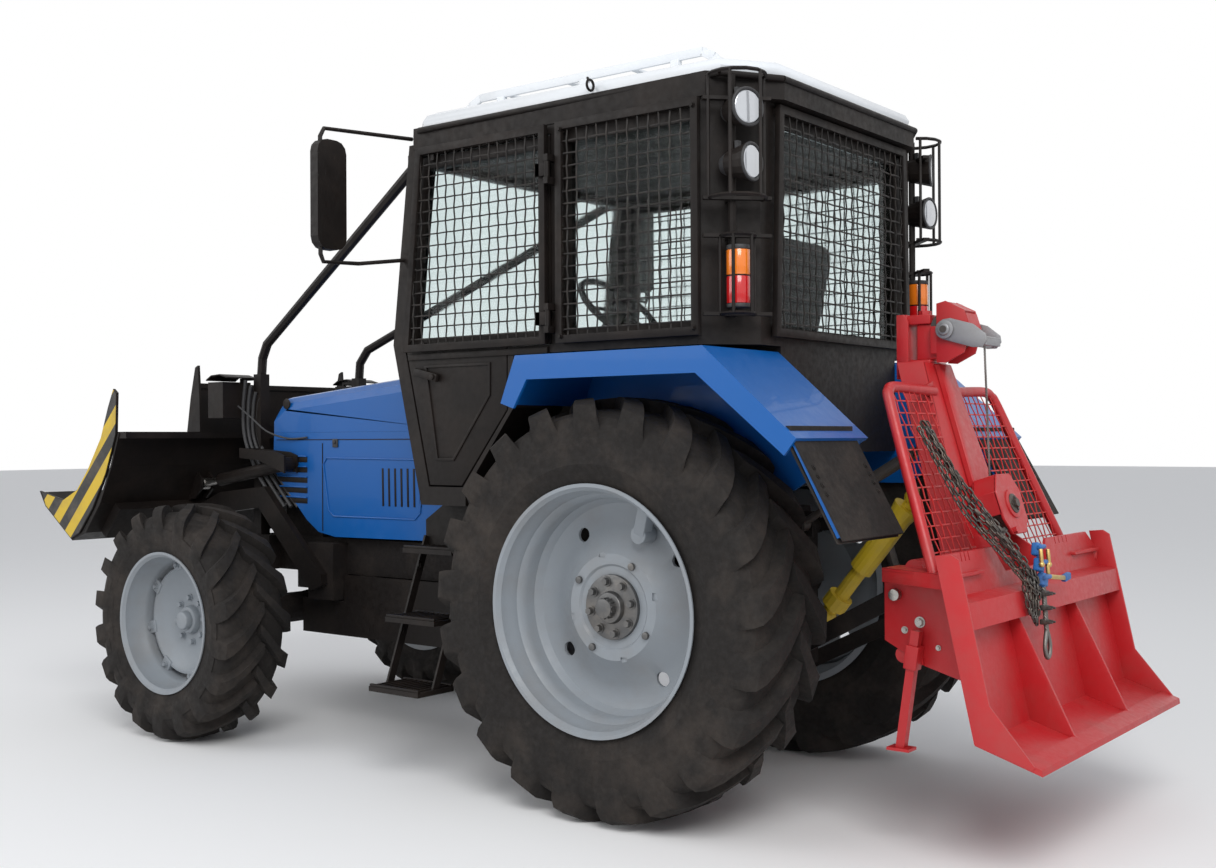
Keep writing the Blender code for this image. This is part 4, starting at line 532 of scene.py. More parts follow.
def rear_rim(name, sign, body):
    x, y, z = 0.0, sign * 0.700, 0.770
    barrel = [(0.457, 0.200), (0.457, 0.194), (0.441, 0.187), (0.4385, 0.135), (0.4385, -0.16), (0.441, -0.187),
              (0.457, -0.194), (0.457, -0.200), (0.430, -0.196), (0.404, -0.10), (0.399, -0.02), (0.399, 0.070),
              (0.404, 0.092), (0.418, 0.108), (0.421, 0.135), (0.428, 0.150), (0.431, 0.182), (0.444, 0.199)]
    shape = Shape().lathe(barrel, (x, y, z), 96, sign)
    shape.piece(f"{name}_barrel", "rim_paint", body, nodes=[name], angle=30)
    disc = [(0.401, 0.030), (0.401, 0.018), (0.385, -0.012), (0.345, -0.026), (0.290, -0.020), (0.225, 0.014),
            (0.205, 0.030), (0.0, 0.030), (0.0, 0.044), (0.150, 0.044), (0.158, 0.052), (0.196, 0.052), (0.206, 0.044),
            (0.232, 0.026), (0.292, -0.008), (0.345, -0.013), (0.380, -0.001), (0.394, 0.022)]
    shape = Shape().lathe(disc, (x, y, z), 96, sign)
    holes = Shape()
    for a, hx, hz in circle_at(x, z, 0.312, 4, 0.62):
        holes.rod((hx, y - 0.2, hz), (hx, y + 0.2, hz), 0.027, 24)
    for a, hx, hz in circle_at(x, z, 0.200, 4, 0.25):
        holes.box((hx - 0.014, hx + 0.014), (y + sign * 0.046, y + sign * 0.2), (hz - 0.014, hz + 0.014))
    shape.cut(holes).piece(f"{name}_disc", "rim_paint", body, angle=30)
    hub = Shape()
    hub.rod((x, y + sign * 0.040, z), (x, y + sign * 0.060, z), 0.120, 48, bevel=0.004)
    hub.rod((x, y + sign * 0.055, z), (x, y + sign * 0.080, z), 0.062, 32, 0.056, bevel=0.003)
    for a, bx, bz in circle_at(x, z, 0.096, 8, 0.2):
        hub.bolt((bx, y + sign * 0.060, bz), (0, sign, 0), 0.014, 0.016)
    for a, bx, bz in circle_at(x, z, 0.178, 4, 1.03):
        hub.rod((bx, y + sign * 0.050, bz), (bx, y + sign * 0.064, bz), 0.014, 20, bevel=0.003)
    hub.rod((x, y + sign * 0.05, z), (x, y + sign * 0.110, z), 0.036, 24, bevel=0.004)
    for a, bx, bz in circle_at(x, z, 0.036, 14):
        hub.box((bx - 0.003, bx + 0.003), (y + sign * 0.07, y + sign * 0.106), (bz - 0.003, bz + 0.003))
    hub.piece(f"{name}_hub", "hub_metal", body, "dark_steel")
    valve = Shape()
    for a, bx, bz in circle_at(x, z, 0.300, 1, -0.45):
        valve.rod((bx, y, bz), (bx + 0.0, y + sign * 0.07, bz + 0.0), 0.034, 24, bevel=0.004)
        valve.bar((bx, y + sign * 0.045, bz), (bx - 0.045, y + sign * 0.075, bz + 0.10), 0.05, 0.05, 0.006)
    valve.piece(f"{name}_valve", "rim_paint", body)


def front_rim(name, sign, body):
    x, y, z = 2.45, sign * 0.830, 0.546
    barrel = [(0.328, 0.160), (0.328, 0.154), (0.314, 0.148), (0.3095, 0.11), (0.3095, -0.13), (0.314, -0.148),
              (0.328, -0.154), (0.328, -0.160), (0.302, -0.156), (0.282, -0.06), (0.280, 0.040), (0.284, 0.060),
              (0.294, 0.074), (0.297, 0.10), (0.302, 0.112), (0.304, 0.146), (0.316, 0.159)]
    Shape().lathe(barrel, (x, y, z), 80, sign).piece(f"{name}_barrel", "rim_paint", body, nodes=[name], angle=30)
    disc = [(0.250, 0.030), (0.250, 0.016), (0.225, -0.004), (0.160, -0.022), (0.130, -0.026), (0.0, -0.026),
            (0.0, -0.010), (0.128, -0.010), (0.160, -0.006), (0.220, 0.012), (0.240, 0.030)]
    shape = Shape().lathe(disc, (x, y, z), 72, sign)
    for a, bx, bz in circle_at(x, z, 0.262, 8, 0.2):
        turn = Matrix.Rotation(a, 4, "Y")
        shape.box((bx - 0.030, bx + 0.030), (y + sign * 0.006, y + sign * 0.034), (bz - 0.026, bz + 0.030), 0.004, turn)
        shape.bolt((bx, y + sign * 0.034, bz), (0, sign, 0), 0.011, 0.012)
    shape.piece(f"{name}_disc", "rim_paint", body, angle=30)
    hub = Shape()
    hub.rod((x, y - sign * 0.012, z), (x, y + sign * 0.020, z), 0.070, 32, 0.060, bevel=0.004)
    hub.rod((x, y + sign * 0.018, z), (x, y + sign * 0.050, z), 0.046, 28, 0.040, bevel=0.004)
    for a, bx, bz in circle_at(x, z, 0.103, 8, 0.1):
        hub.bolt((bx, y - sign * 0.010, bz), (0, sign, 0), 0.013, 0.016)
    hub.piece(f"{name}_hub", "rim_paint", body)


def make_wheels():
    for side, sign in SIDES:
        body = f"rear_wheel_{side}"
        tyre(f"rear_tyre_{side}", 0.0, sign * 0.700, 0.770, 0.215, 0.457, 21, 0.044, 0.31, sign, body)
        rear_rim(f"rear_rim_{side}", sign, body)
        body = f"front_wheel_{side}"
        tyre(f"front_tyre_{side}", 2.45, sign * 0.830, 0.546, 0.180, 0.328, 18, 0.036, 0.36, sign, body)
        front_rim(f"front_rim_{side}", sign, body)


# Cab ---------------------------------------------------------------------------------------
DOOR_GUARD = [(0.292, 1.745), (1.062, 1.745), (0.982, 2.575), (0.292, 2.575)]
SIDE_GUARD = [(-0.405, 1.745), (0.240, 1.745), (0.240, 2.575), (-0.405, 2.575)]
REAR_GUARD = [(-0.535, 1.745), (0.535, 1.745), (0.505, 2.572), (-0.505, 2.572)]
MESH_PITCH, WIRE_R = 0.047, 0.0032


def inset(outline, amount):
    """A convex outline, listed either way round, with each side moved inward."""
    ring = [Vector(p) for p in outline]
    centre = sum(ring, Vector((0, 0))) / len(ring)
    lines = []
    for p, q in zip(ring, ring[1:] + ring[:1]):
        way = (q - p).normalized()
        normal = Vector((-way.y, way.x))
        if normal.dot(centre - p) < 0:
            normal.negate()
        lines.append((p + normal * amount, way))
    found = []
    for (p, u), (q, v) in zip([lines[-1]] + lines[:-1], lines):
        cross = u.x * v.y - u.y * v.x
        d = q - p
        found.append(tuple(p + u * ((d.x * v.y - d.y * v.x) / cross)))
    return found


def guard(name, plane, outline, near, far, body, node, offset=(0.0, 0.0), extra=None):
    shape = Shape()
    shape.plate(plane, [outline, inset(outline, 0.030)], near, far, 0.0015)
    if extra:
        extra(shape)
    shape.piece(f"{name}_frame", "black_paint", body, nodes=[node])
    wires = woven(Shape(), plane, inset(outline, 0.012), (near + far) / 2, MESH_PITCH, WIRE_R, offset=offset)
    wires.piece(f"{name}_wires", "wire", body, "black_paint", angle=60)


def make_guards():
    reach = 0.750 + 0.012
    for side, sign in SIDES:
        near, far = sign * reach, sign * (reach + 0.022)

        def fixings(shape, sign=sign):
            for x in (-0.385, 0.215):
                for z in (1.770, 2.545):
                    shape.box((x - 0.012, x + 0.012), sorted((sign * 0.7503, sign * 0.770)), (z - 0.012, z + 0.012))
                    shape.bolt((x, sign * 0.784, z), (0, sign, 0), 0.008, 0.007)

        guard(f"side_guard_{side}", "xz", SIDE_GUARD, near, far, "chassis", f"side_guard_{side}",
              (0.0, 0.01), fixings)
        door = [(0.291, 1.751), (0.516, 1.751), (0.516, 1.503), (0.761, 1.201), (0.939, 1.201), (1.079, 1.780),
                (0.986, 2.539), (0.291, 2.539)]
        window = [(0.335, 1.800), (1.020, 1.800), (0.948, 2.490), (0.335, 2.490)]
        shape = Shape().plate("xz", [door, window], sign * 0.705, sign * 0.750, 0.004)
        recess = [(0.600, 1.690), (0.965, 1.690), (0.900, 1.300), (0.800, 1.300), (0.600, 1.560)]
        shape.plate("xz", [recess, inset(recess, 0.012)], sign * 0.745, sign * 0.756, 0.003)
        shape.bar((0.30, sign * 0.756, 1.725), (1.055, sign * 0.756, 1.725), 0.010, 0.026, 0.003)
        shape.bar((0.880, sign * 0.762, 1.635), (1.010, sign * 0.762, 1.665), 0.022, 0.034, 0.006)
        shape.rod((0.900, sign * 0.768, 1.640), (0.900, sign * 0.782, 1.640), 0.012, 20, bevel=0.002)
        for z in (1.84, 2.40):
            shape.rod((0.262, sign * 0.802, z - 0.03), (0.262, sign * 0.802, z + 0.03), 0.010, 16)
            shape.box((0.264, 0.320), sorted((sign * 0.798, sign * 0.806)), (z - 0.025, z + 0.025), 0.002)
            shape.box((0.297, 0.320), sorted((sign * 0.74, sign * 0.806)), (z - 0.025, z + 0.025), 0.002)
        for x, z in ((0.960, 1.770), (0.900, 2.530)):
            shape.box((x - 0.012, x + 0.012), sorted((sign * 0.74, sign * 0.772)), (z - 0.012, z + 0.012))
        shape.plate("xz", [DOOR_GUARD, inset(DOOR_GUARD, 0.030)], near, far, 0.0015)
        shape.piece(f"door_{side}_panel", "black_paint", f"door_{side}", nodes=[f"door_{side}"])
        wires = woven(Shape(), "xz", inset(DOOR_GUARD, 0.012), (near + far) / 2, MESH_PITCH, WIRE_R, offset=(0.02, 0.01))
        wires.piece(f"door_{side}_wires", "wire", f"door_{side}", "black_paint", angle=60)
        pane = inset(window, -0.008)
        Shape().plate("xz", [pane], sign * 0.722, sign * 0.727).piece(
            f"door_{side}_glass", "glass", f"door_{side}", "glass")
        pane = [(-0.375, 1.795), (0.210, 1.795), (0.210, 2.505), (-0.375, 2.505)]
        Shape().plate("xz", [pane], sign * 0.722, sign * 0.727).piece(
            f"side_{side}_glass", "glass", "chassis", "glass")

    def rear_fixings(shape):
        for y in (-0.49, 0.49):
            for z in (1.775, 2.550):
                shape.box((-0.562, -0.5403), (y - 0.012, y + 0.012), (z - 0.012, z + 0.012))

    guard("rear_guard", "yz", REAR_GUARD, -0.574, -0.552, "chassis", "rear_guard", (0.0, 0.01), rear_fixings)


# Winch -------------------------------------------------------------------------------------
MAST_LOW, MAST_TOP = (-1.170, 0.900), (-0.925, 1.660)
PIN_X, PIN_Z, PIN_Y = -1.000, 0.857, 0.440
CHEEK_Y, SHIELD_Y = PIN_Y + 0.034, 0.715
HOOK_Y = 0.190


def on_mast(z, back=0.0):
    """X of the mast's rear face at a height, moved rearward by back."""
    share = (z - MAST_LOW[1]) / (MAST_TOP[1] - MAST_LOW[1])
    return MAST_LOW[0] + (MAST_TOP[0] - MAST_LOW[0]) * share - back


def lean(shape, low, high):
    """Shears a shape so that x = 0 follows the line from low (x, z) to high (x, z)."""
    for vertex in shape.bm.verts:
        share = (vertex.co.z - low[1]) / (high[1] - low[1])
        vertex.co.x += low[0] + (high[0] - low[0]) * share
    return shape


def merged(shape, other):
    mesh = bpy.data.meshes.new("part")
    other.bm.to_mesh(mesh)
    other.bm.free()
    return shape.add_mesh(mesh)


def slab(shape, corners, offset, bevel=0.0):
    """A flat plate with the given corners, thickened by the offset vector."""
    part = bmesh.new()
    near = [part.verts.new(c) for c in corners]
    far = [part.verts.new(Vector(c) + Vector(offset)) for c in corners]
    part.faces.new(near)
    part.faces.new(far[::-1])
    for i in range(len(near)):
        j = (i + 1) % len(near)
        part.faces.new((near[i], far[i], far[j], near[j]))
    if bevel:
        bmesh.ops.bevel(part, geom=part.edges[:], offset=bevel, segments=1, profile=0.5, affect="EDGES")
    return shape.take(part)


def smooth_line(points, steps=8, cyclic=False):
    """Points along a Catmull-Rom curve through the given ones."""
    points = [Vector(p) for p in points]
    count = len(points)
    found = []
    for i in range(count if cyclic else count - 1):
        p1, p2 = points[i], points[(i + 1) % count]
        p0 = points[i - 1] if (i or cyclic) else p1
        p3 = points[(i + 2) % count] if (i < count - 2 or cyclic) else p2
        for k in range(steps):
            t = k / steps
            found.append(0.5 * (2 * p1 + (p2 - p0) * t + (2 * p0 - 5 * p1 + 4 * p2 - p3) * t * t
                                + (3 * p1 - p0 - 3 * p2 + p3) * t ** 3))
    return found if cyclic else found + [points[-1]]


def chain(shape, line, link=0.034, width=0.020, wire=0.0032, roll=0.0):
    """Oval links along a line, each turned a quarter from the last."""
    line = [Vector(p) for p in line]
    pitch = link - 2.4 * wire
    marks, left = [], 0.0
    for a, b in zip(line, line[1:]):
        length = (b - a).length
        while left <= length:
            marks.append((a.lerp(b, left / length), (b - a).normalized()))
            left += pitch
        left -= length
    for i, (centre, way) in enumerate(marks):
        side = way.orthogonal().normalized()
        side.rotate(Matrix.Rotation(roll + (math.pi / 2 if i % 2 else 0.0), 3, way))
        straight, bend = link / 2 - width / 2, width / 2 - wire
        loop = []
        for k in range(10):
            a = math.tau * k / 10
            shift = straight if math.cos(a) > 0 else -straight
            loop.append(centre + way * (shift + bend * math.cos(a)) + side * bend * math.sin(a))
        shape.tube(loop, wire, 6, True)
    return shape


def make_winch_frame():
    shape = Shape()
    low_z, top_z, depth = MAST_LOW[1], MAST_TOP[1], 0.100
    rear = [(on_mast(z), y, z) for y, z in ((-0.215, low_z), (0.215, low_z), (0.100, top_z), (-0.100, top_z))]
    slab(shape, rear, (0.010, 0, 0), 0.002)
    for _, s in SIDES:
        side = [(on_mast(low_z), s * 0.215, low_z), (on_mast(low_z) + depth, s * 0.235, low_z),
                (on_mast(top_z) + depth, s * 0.112, top_z), (on_mast(top_z), s * 0.100, top_z)]
        slab(shape, side, (0, -s * 0.010, 0), 0.002)
    rib = [(on_mast(z), y, z) for y, z in ((-0.130, 1.205), (0.045, 1.205), (0.018, 1.655), (-0.080, 1.655))]
    slab(shape, rib, (-0.026, 0, 0), 0.004)
    slab(shape, [(on_mast(z), y, z) for y, z in ((-0.085, 1.000), (0.085, 1.000), (0.085, 1.060), (-0.085, 1.060))],
         (-0.020, 0, 0), 0.003)
    slab(shape, [(on_mast(1.66), y, 1.652) for y in (-0.100, 0.100)] + [(on_mast(1.66) + depth, y, 1.652) for y in (0.112, -0.112)],
         (0, 0, 0.010), 0.002)
    for _, s in SIDES:
        wall = [(-0.800, 1.600), (-0.800, 1.838), (-0.828, 1.838), (-0.846, 1.812), (-0.846, 1.665), (-0.880, 1.640),
                (-0.898, 1.600)]
        shape.plate("xz", [wall], s * 0.050, s * 0.060, 0.002)
        shape.rod((-0.960, s * 0.0206, 1.400), (-0.960, s * 0.090, 1.400), 0.016, 16)
    shape.box((-0.838, -0.802), (-0.052, 0.052), (1.600, 1.838), 0.003)
    for low, high in ((1.636, 1.671), (1.801, 1.836)):
        shape.box((-0.925, -0.830), (-0.042, 0.042), (low, high), 0.004)
    shape.rod((-0.887, 0, 1.834), (-0.887, 0, 1.852), 0.024, 6)
    for z, x, radius in ((0.945, -1.060, 0.032), (0.655, -1.020, 0.028)):
        shape.rod((x, -CHEEK_Y, z), (x, CHEEK_Y, z), radius, 24)
    for _, s in SIDES:
        cheek = [(-0.955, 0.930), (-1.262, 0.980), (-1.372, 0.470), (-1.330, 0.560), (-1.100, 0.625), (-0.955, 0.700)]
        shape.plate("xz", [cheek], s * (CHEEK_Y - 0.006), s * (CHEEK_Y + 0.006), 0.0015)
        ear = [(-0.955, 0.805), (-0.955, 0.930), (-1.085, 0.940), (-1.085, 0.780)]
        shape.plate("xz", [ear], s * (PIN_Y - 0.040), s * (PIN_Y - 0.028), 0.0015)
        slab(shape, [(-1.290, s * 0.430, 0.940), (-0.985, s * 0.430, 0.940), (-0.985, s * 0.560, 0.940),
                     (-1.290, s * 0.690, 0.940)], (0, 0, 0.012), 0.002)
        slab(shape, [(-1.285, s * 0.690, 0.905), (-0.985, s * 0.558, 0.905), (-0.985, s * 0.558, 0.952),
                     (-1.285, s * 0.690, 0.952)], (0, -s * 0.008, 0), 0.001)
        rail = [(-0.955, s * 0.080, 1.552), (-0.952, s * 0.200, 1.556), (-0.950, s * 0.390, 1.560),
                (-0.955, s * 0.440, 1.545), (-0.972, s * 0.465, 1.505), (-1.060, s * 0.520, 1.275),
                (-1.190, s * 0.600, 0.945)]
        shape.tube(smooth_line(rail, 8), 0.019, 16)
        shape.plate("yz", [[(s * 0.085, 1.515), (s * 0.130, 1.535), (s * 0.130, 1.575), (s * 0.085, 1.590)]], -0.955, -0.945)
        shape.box((-1.100, -1.050), sorted((s * CHEEK_Y, s * 0.495)), (0.630, 0.690))
        rise = math.sqrt(1 - 0.147 ** 2)
        ends = [(-1.030 - 0.147 * t, s * 0.512, 0.350 + rise * t) for t in (0.270, 0.350)]
        socket = Shape().bar(*ends, 0.046, 0.046, 0.003)
        reach = [(-1.030 - 0.147 * t, s * 0.512, 0.350 + rise * t) for t in (0.20, 0.42)]
        merged(shape, socket.cut(Shape().bar(*reach, 0.0306, 0.0306)))
    shield = [(SHIELD_Y, 0.443)]
    shield += [(SHIELD_Y, 1.015)]
    for y in (0.545, 0.515, 0.485):
        shield += [(y + 0.003, 1.015), (y + 0.003, 0.985), (y - 0.003, 0.985), (y - 0.003, 1.015)]
    shield += [(0.285, 1.015), (0.255, 0.985), (0.210, 0.930), (-0.175, 0.930), (-0.200, 1.000), (-0.215, 1.015)]
    for y in (-0.30, -0.34, -0.38, -0.42):
        shield += [(y + 0.003, 1.015), (y + 0.003, 0.990), (y - 0.003, 0.990), (y - 0.003, 1.015)]
    shield += [(-0.640, 1.015), (-SHIELD_Y, 0.955), (-SHIELD_Y, 0.443)]
    panel = Shape().plate("yz", [shield], -0.005, 0.005)
    merged(shape, lean(panel, (-1.376, 0.443), (-1.250, 1.015)))
    lip = [(-1.585, 0.372), (-1.372, 0.438), (-1.376, 0.449), (-1.583, 0.385)]
    shape.plate("xz", [lip], -SHIELD_Y, SHIELD_Y, 0.001)
    shape.plate("xz", [[(-1.584, 0.384), (-1.520, 0.404), (-1.522, 0.412), (-1.582, 0.392)]], -0.714, 0.714, 0.001)
    end = [(-1.246, 1.015), (-1.372, 0.441), (-1.555, 0.384), (-1.562, 0.396), (-1.420, 0.565), (-1.325, 1.005),
           (-1.300, 1.020)]
    rib = [(-1.302, 0.780), (-1.374, 0.443), (-1.545, 0.395), (-1.525, 0.415), (-1.345, 0.780)]
    for y in (SHIELD_Y - 0.003, 0.003 - SHIELD_Y):
        shape.plate("xz", [end], y - 0.005, y + 0.005, 0.0015)
    for y in (0.270, -0.270):
        shape.plate("xz", [rib], y - 0.006, y + 0.006, 0.0015)
    bar = [(-1.270, 0.885), (-1.352, 0.872), (-1.366, 0.790), (-1.290, 0.796)]
    shape.plate("xz", [bar], -0.706, 0.706, 0.003)
    for y in (-0.140, 0.140):
        shape.plate("xz", [[(-1.100, 0.905), (-1.282, 0.880), (-1.262, 0.975), (-1.140, 1.050)]], y - 0.006, y + 0.006, 0.001)
    shape.piece("winch_body", "red_paint", "winch", nodes=["winch_frame"])

    wires = Shape()
    for _, s in SIDES:
        outline = [(s * y, z) for y, z in ((0.120, 1.550), (0.440, 1.550), (0.590, 0.950), (0.225, 0.950))]
        merged(wires, lean(woven(Shape(), "yz", outline, 0.0, 0.042, 0.0028), (-1.190, 0.945), (-0.955, 1.555)))
    wires.piece("winch_net", "red_wire", "winch", "red_paint", angle=60)

    bolts = Shape()
    for _, s in SIDES:
        bolts.rod((PIN_X, s * (CHEEK_Y + 0.004), PIN_Z), (PIN_X, s * (CHEEK_Y + 0.032), PIN_Z), 0.020, 20, bevel=0.003)
        bolts.rod((PIN_X, s * (PIN_Y + 0.0224), PIN_Z), (PIN_X, s * (PIN_Y + 0.034), PIN_Z), 0.020, 20)
        bolts.rod((PIN_X, s * (PIN_Y - 0.040), PIN_Z), (PIN_X, s * (PIN_Y - 0.0224), PIN_Z), 0.020, 20)
        bolts.bolt((-1.085, s * (CHEEK_Y + 0.006), 0.770), (0, s, 0), 0.014, 0.011)
        bolts.bolt((-1.030, s * (CHEEK_Y + 0.006), 0.740), (0, s, 0), 0.009, 0.008)
        bolts.bolt((-1.200, s * (CHEEK_Y + 0.006), 0.900), (0, s, 0), 0.009, 0.008)
        bolts.bolt((-1.150, s * (CHEEK_Y + 0.006), 0.690), (0, s, 0), 0.007, 0.007)
    bolts.piece("winch_pins", "steel", "winch")


def make_pulleys():
    way = Vector((MAST_TOP[0] - MAST_LOW[0], 0, MAST_TOP[1] - MAST_LOW[1])).normalized()
    out = Vector((-way.z, 0, way.x))
    seat = Vector((on_mast(1.112), 0, 1.112)) + out * 0.0006
    shape = Shape()
    shape.rod(seat, seat + out * 0.026, 0.060, 8)
    seat = seat + out * 0.024
    octagon = [(0.068, -0.108), (0.108, -0.050), (0.108, 0.050), (0.060, 0.112), (-0.060, 0.112), (-0.108, 0.050),
               (-0.100, -0.060), (-0.052, -0.108)]
    side = Vector((0, 1, 0))
    for low, high in ((0.0, 0.010), (0.084, 0.094)):
        corners = [seat + out * low + side * a + way * b for a, b in octagon]
        slab(shape, corners, out * (high - low), 0.002)
    for a, b in (((0.060, 0.112), (-0.060, 0.112)), ((-0.060, 0.112), (-0.108, 0.050)), ((0.108, 0.050), (0.060, 0.112)),
                 ((0.108, -0.030), (0.108, 0.050))):
        near, far = (seat + side * p[0] + way * p[1] for p in (a, b))
        slab(shape, [near, far, far + out * 0.090, near + out * 0.090],
             (seat - (near + far) / 2).normalized() * 0.010, 0.001)
    shape.rod(seat + out * 0.090, seat + out * 0.100, 0.052, 32, bevel=0.003)
    shape.rod(seat + side * 0.06 - way * 0.095 + out * 0.094, seat + side * 0.06 - way * 0.095 + out * 0.108, 0.011, 6)
    shape.piece("lower_pulley_housing", "red_paint", "winch", nodes=["lower_pulley"])
    sheave = Shape()
    for low, high, radius in ((0.018, 0.030, 0.094), (0.064, 0.076, 0.094), (0.028, 0.066, 0.072)):
        sheave.rod(seat + out * low, seat + out * high, radius, 40)
    sheave.rod(seat + out * 0.096, seat + out * 0.104, 0.036, 28, bevel=0.002)
    sheave.rod(seat + out * 0.102, seat + out * 0.116, 0.018, 6)
    for k in range(3):
        a = math.tau * k / 3
        at = seat + (side * math.cos(a) + way * math.sin(a)) * 0.024
        sheave.rod(at + out * 0.102, at + out * 0.108, 0.006, 12)
    sheave.piece("lower_sheave", "dark_steel", "winch")

    shape = Shape()
    octagon = [(-0.955, 1.658), (-0.990, 1.655), (-1.060, 1.690), (-1.085, 1.770), (-1.060, 1.845), (-0.990, 1.880),
               (-0.955, 1.872)]
    for y in (-0.055, 0.045):
        shape.plate("xz", [octagon], y, y + 0.010, 0.002)
    shape.box((-0.945, -0.868), (-0.030, 0.030), (1.6716, 1.8004), 0.003)
    shape.box((-0.975, -0.930), (-0.054, 0.054), (1.690, 1.790), 0.002)
    for a, b in (((-0.957, 1.866), (-1.000, 1.876)), ((-1.004, 1.874), (-1.060, 1.842)), ((-1.062, 1.836), (-1.082, 1.775))):
        shape.bar((a[0], 0, a[1] - 0.004), (b[0], 0, b[1] - 0.004), 0.100, 0.008)
    shape.piece("winch_head_housing", "red_paint", "winch_head", nodes=["winch_head"])
    sheave = Shape()
    for y, radius in ((-0.034, 0.074), (0.022, 0.074)):
        sheave.rod((-0.995, y, 1.775), (-0.995, y + 0.012, 1.775), radius, 36)
    sheave.rod((-0.995, -0.026, 1.775), (-0.995, 0.026, 1.775), 0.056, 36)
    for s in (-1, 1):
        sheave.rod((-0.995, s * 0.054, 1.775), (-0.995, s * 0.0604, 1.775), 0.018, 24)
    sheave.piece("winch_head_sheave", "dark_steel", "winch_head")

    arm = [(-0.985, 1.812), (-1.015, 1.815), (-1.100, 1.790), (-1.148, 1.752), (-1.152, 1.728), (-1.134, 1.706),
           (-1.100, 1.706), (-0.985, 1.740), (-0.962, 1.760), (-0.962, 1.795)]
    shape = Shape()
    for _, s in SIDES:
        shape.plate("xz", [arm], s * 0.061, s * 0.069, 0.0015)
        shape.rod((-0.995, s * 0.069, 1.775), (-0.995, s * 0.078, 1.775), 0.034, 32, bevel=0.002)
        shape.rod((-0.995, s * 0.078, 1.775), (-0.995, s * 0.086, 1.775), 0.024, 32, 0.020, bevel=0.002)
    shape.bar((-1.148, 0, 1.742), (-1.112, 0, 1.709), 0.130, 0.010, 0.002)
    shape.box((-1.150, -1.132), (-0.064, 0.064), (1.712, 1.740), 0.003)
    shape.piece("pulley_arm_plates", "zinc", "pulley_arm", "steel", nodes=["pulley_arm"])
    caps = Shape()
    for _, s in SIDES:
        caps.rod((-0.995, s * 0.084, 1.775), (-0.995, s * 0.089, 1.775), 0.013, 24)
    caps.piece("pulley_arm_pin", "dark_steel", "pulley_arm")


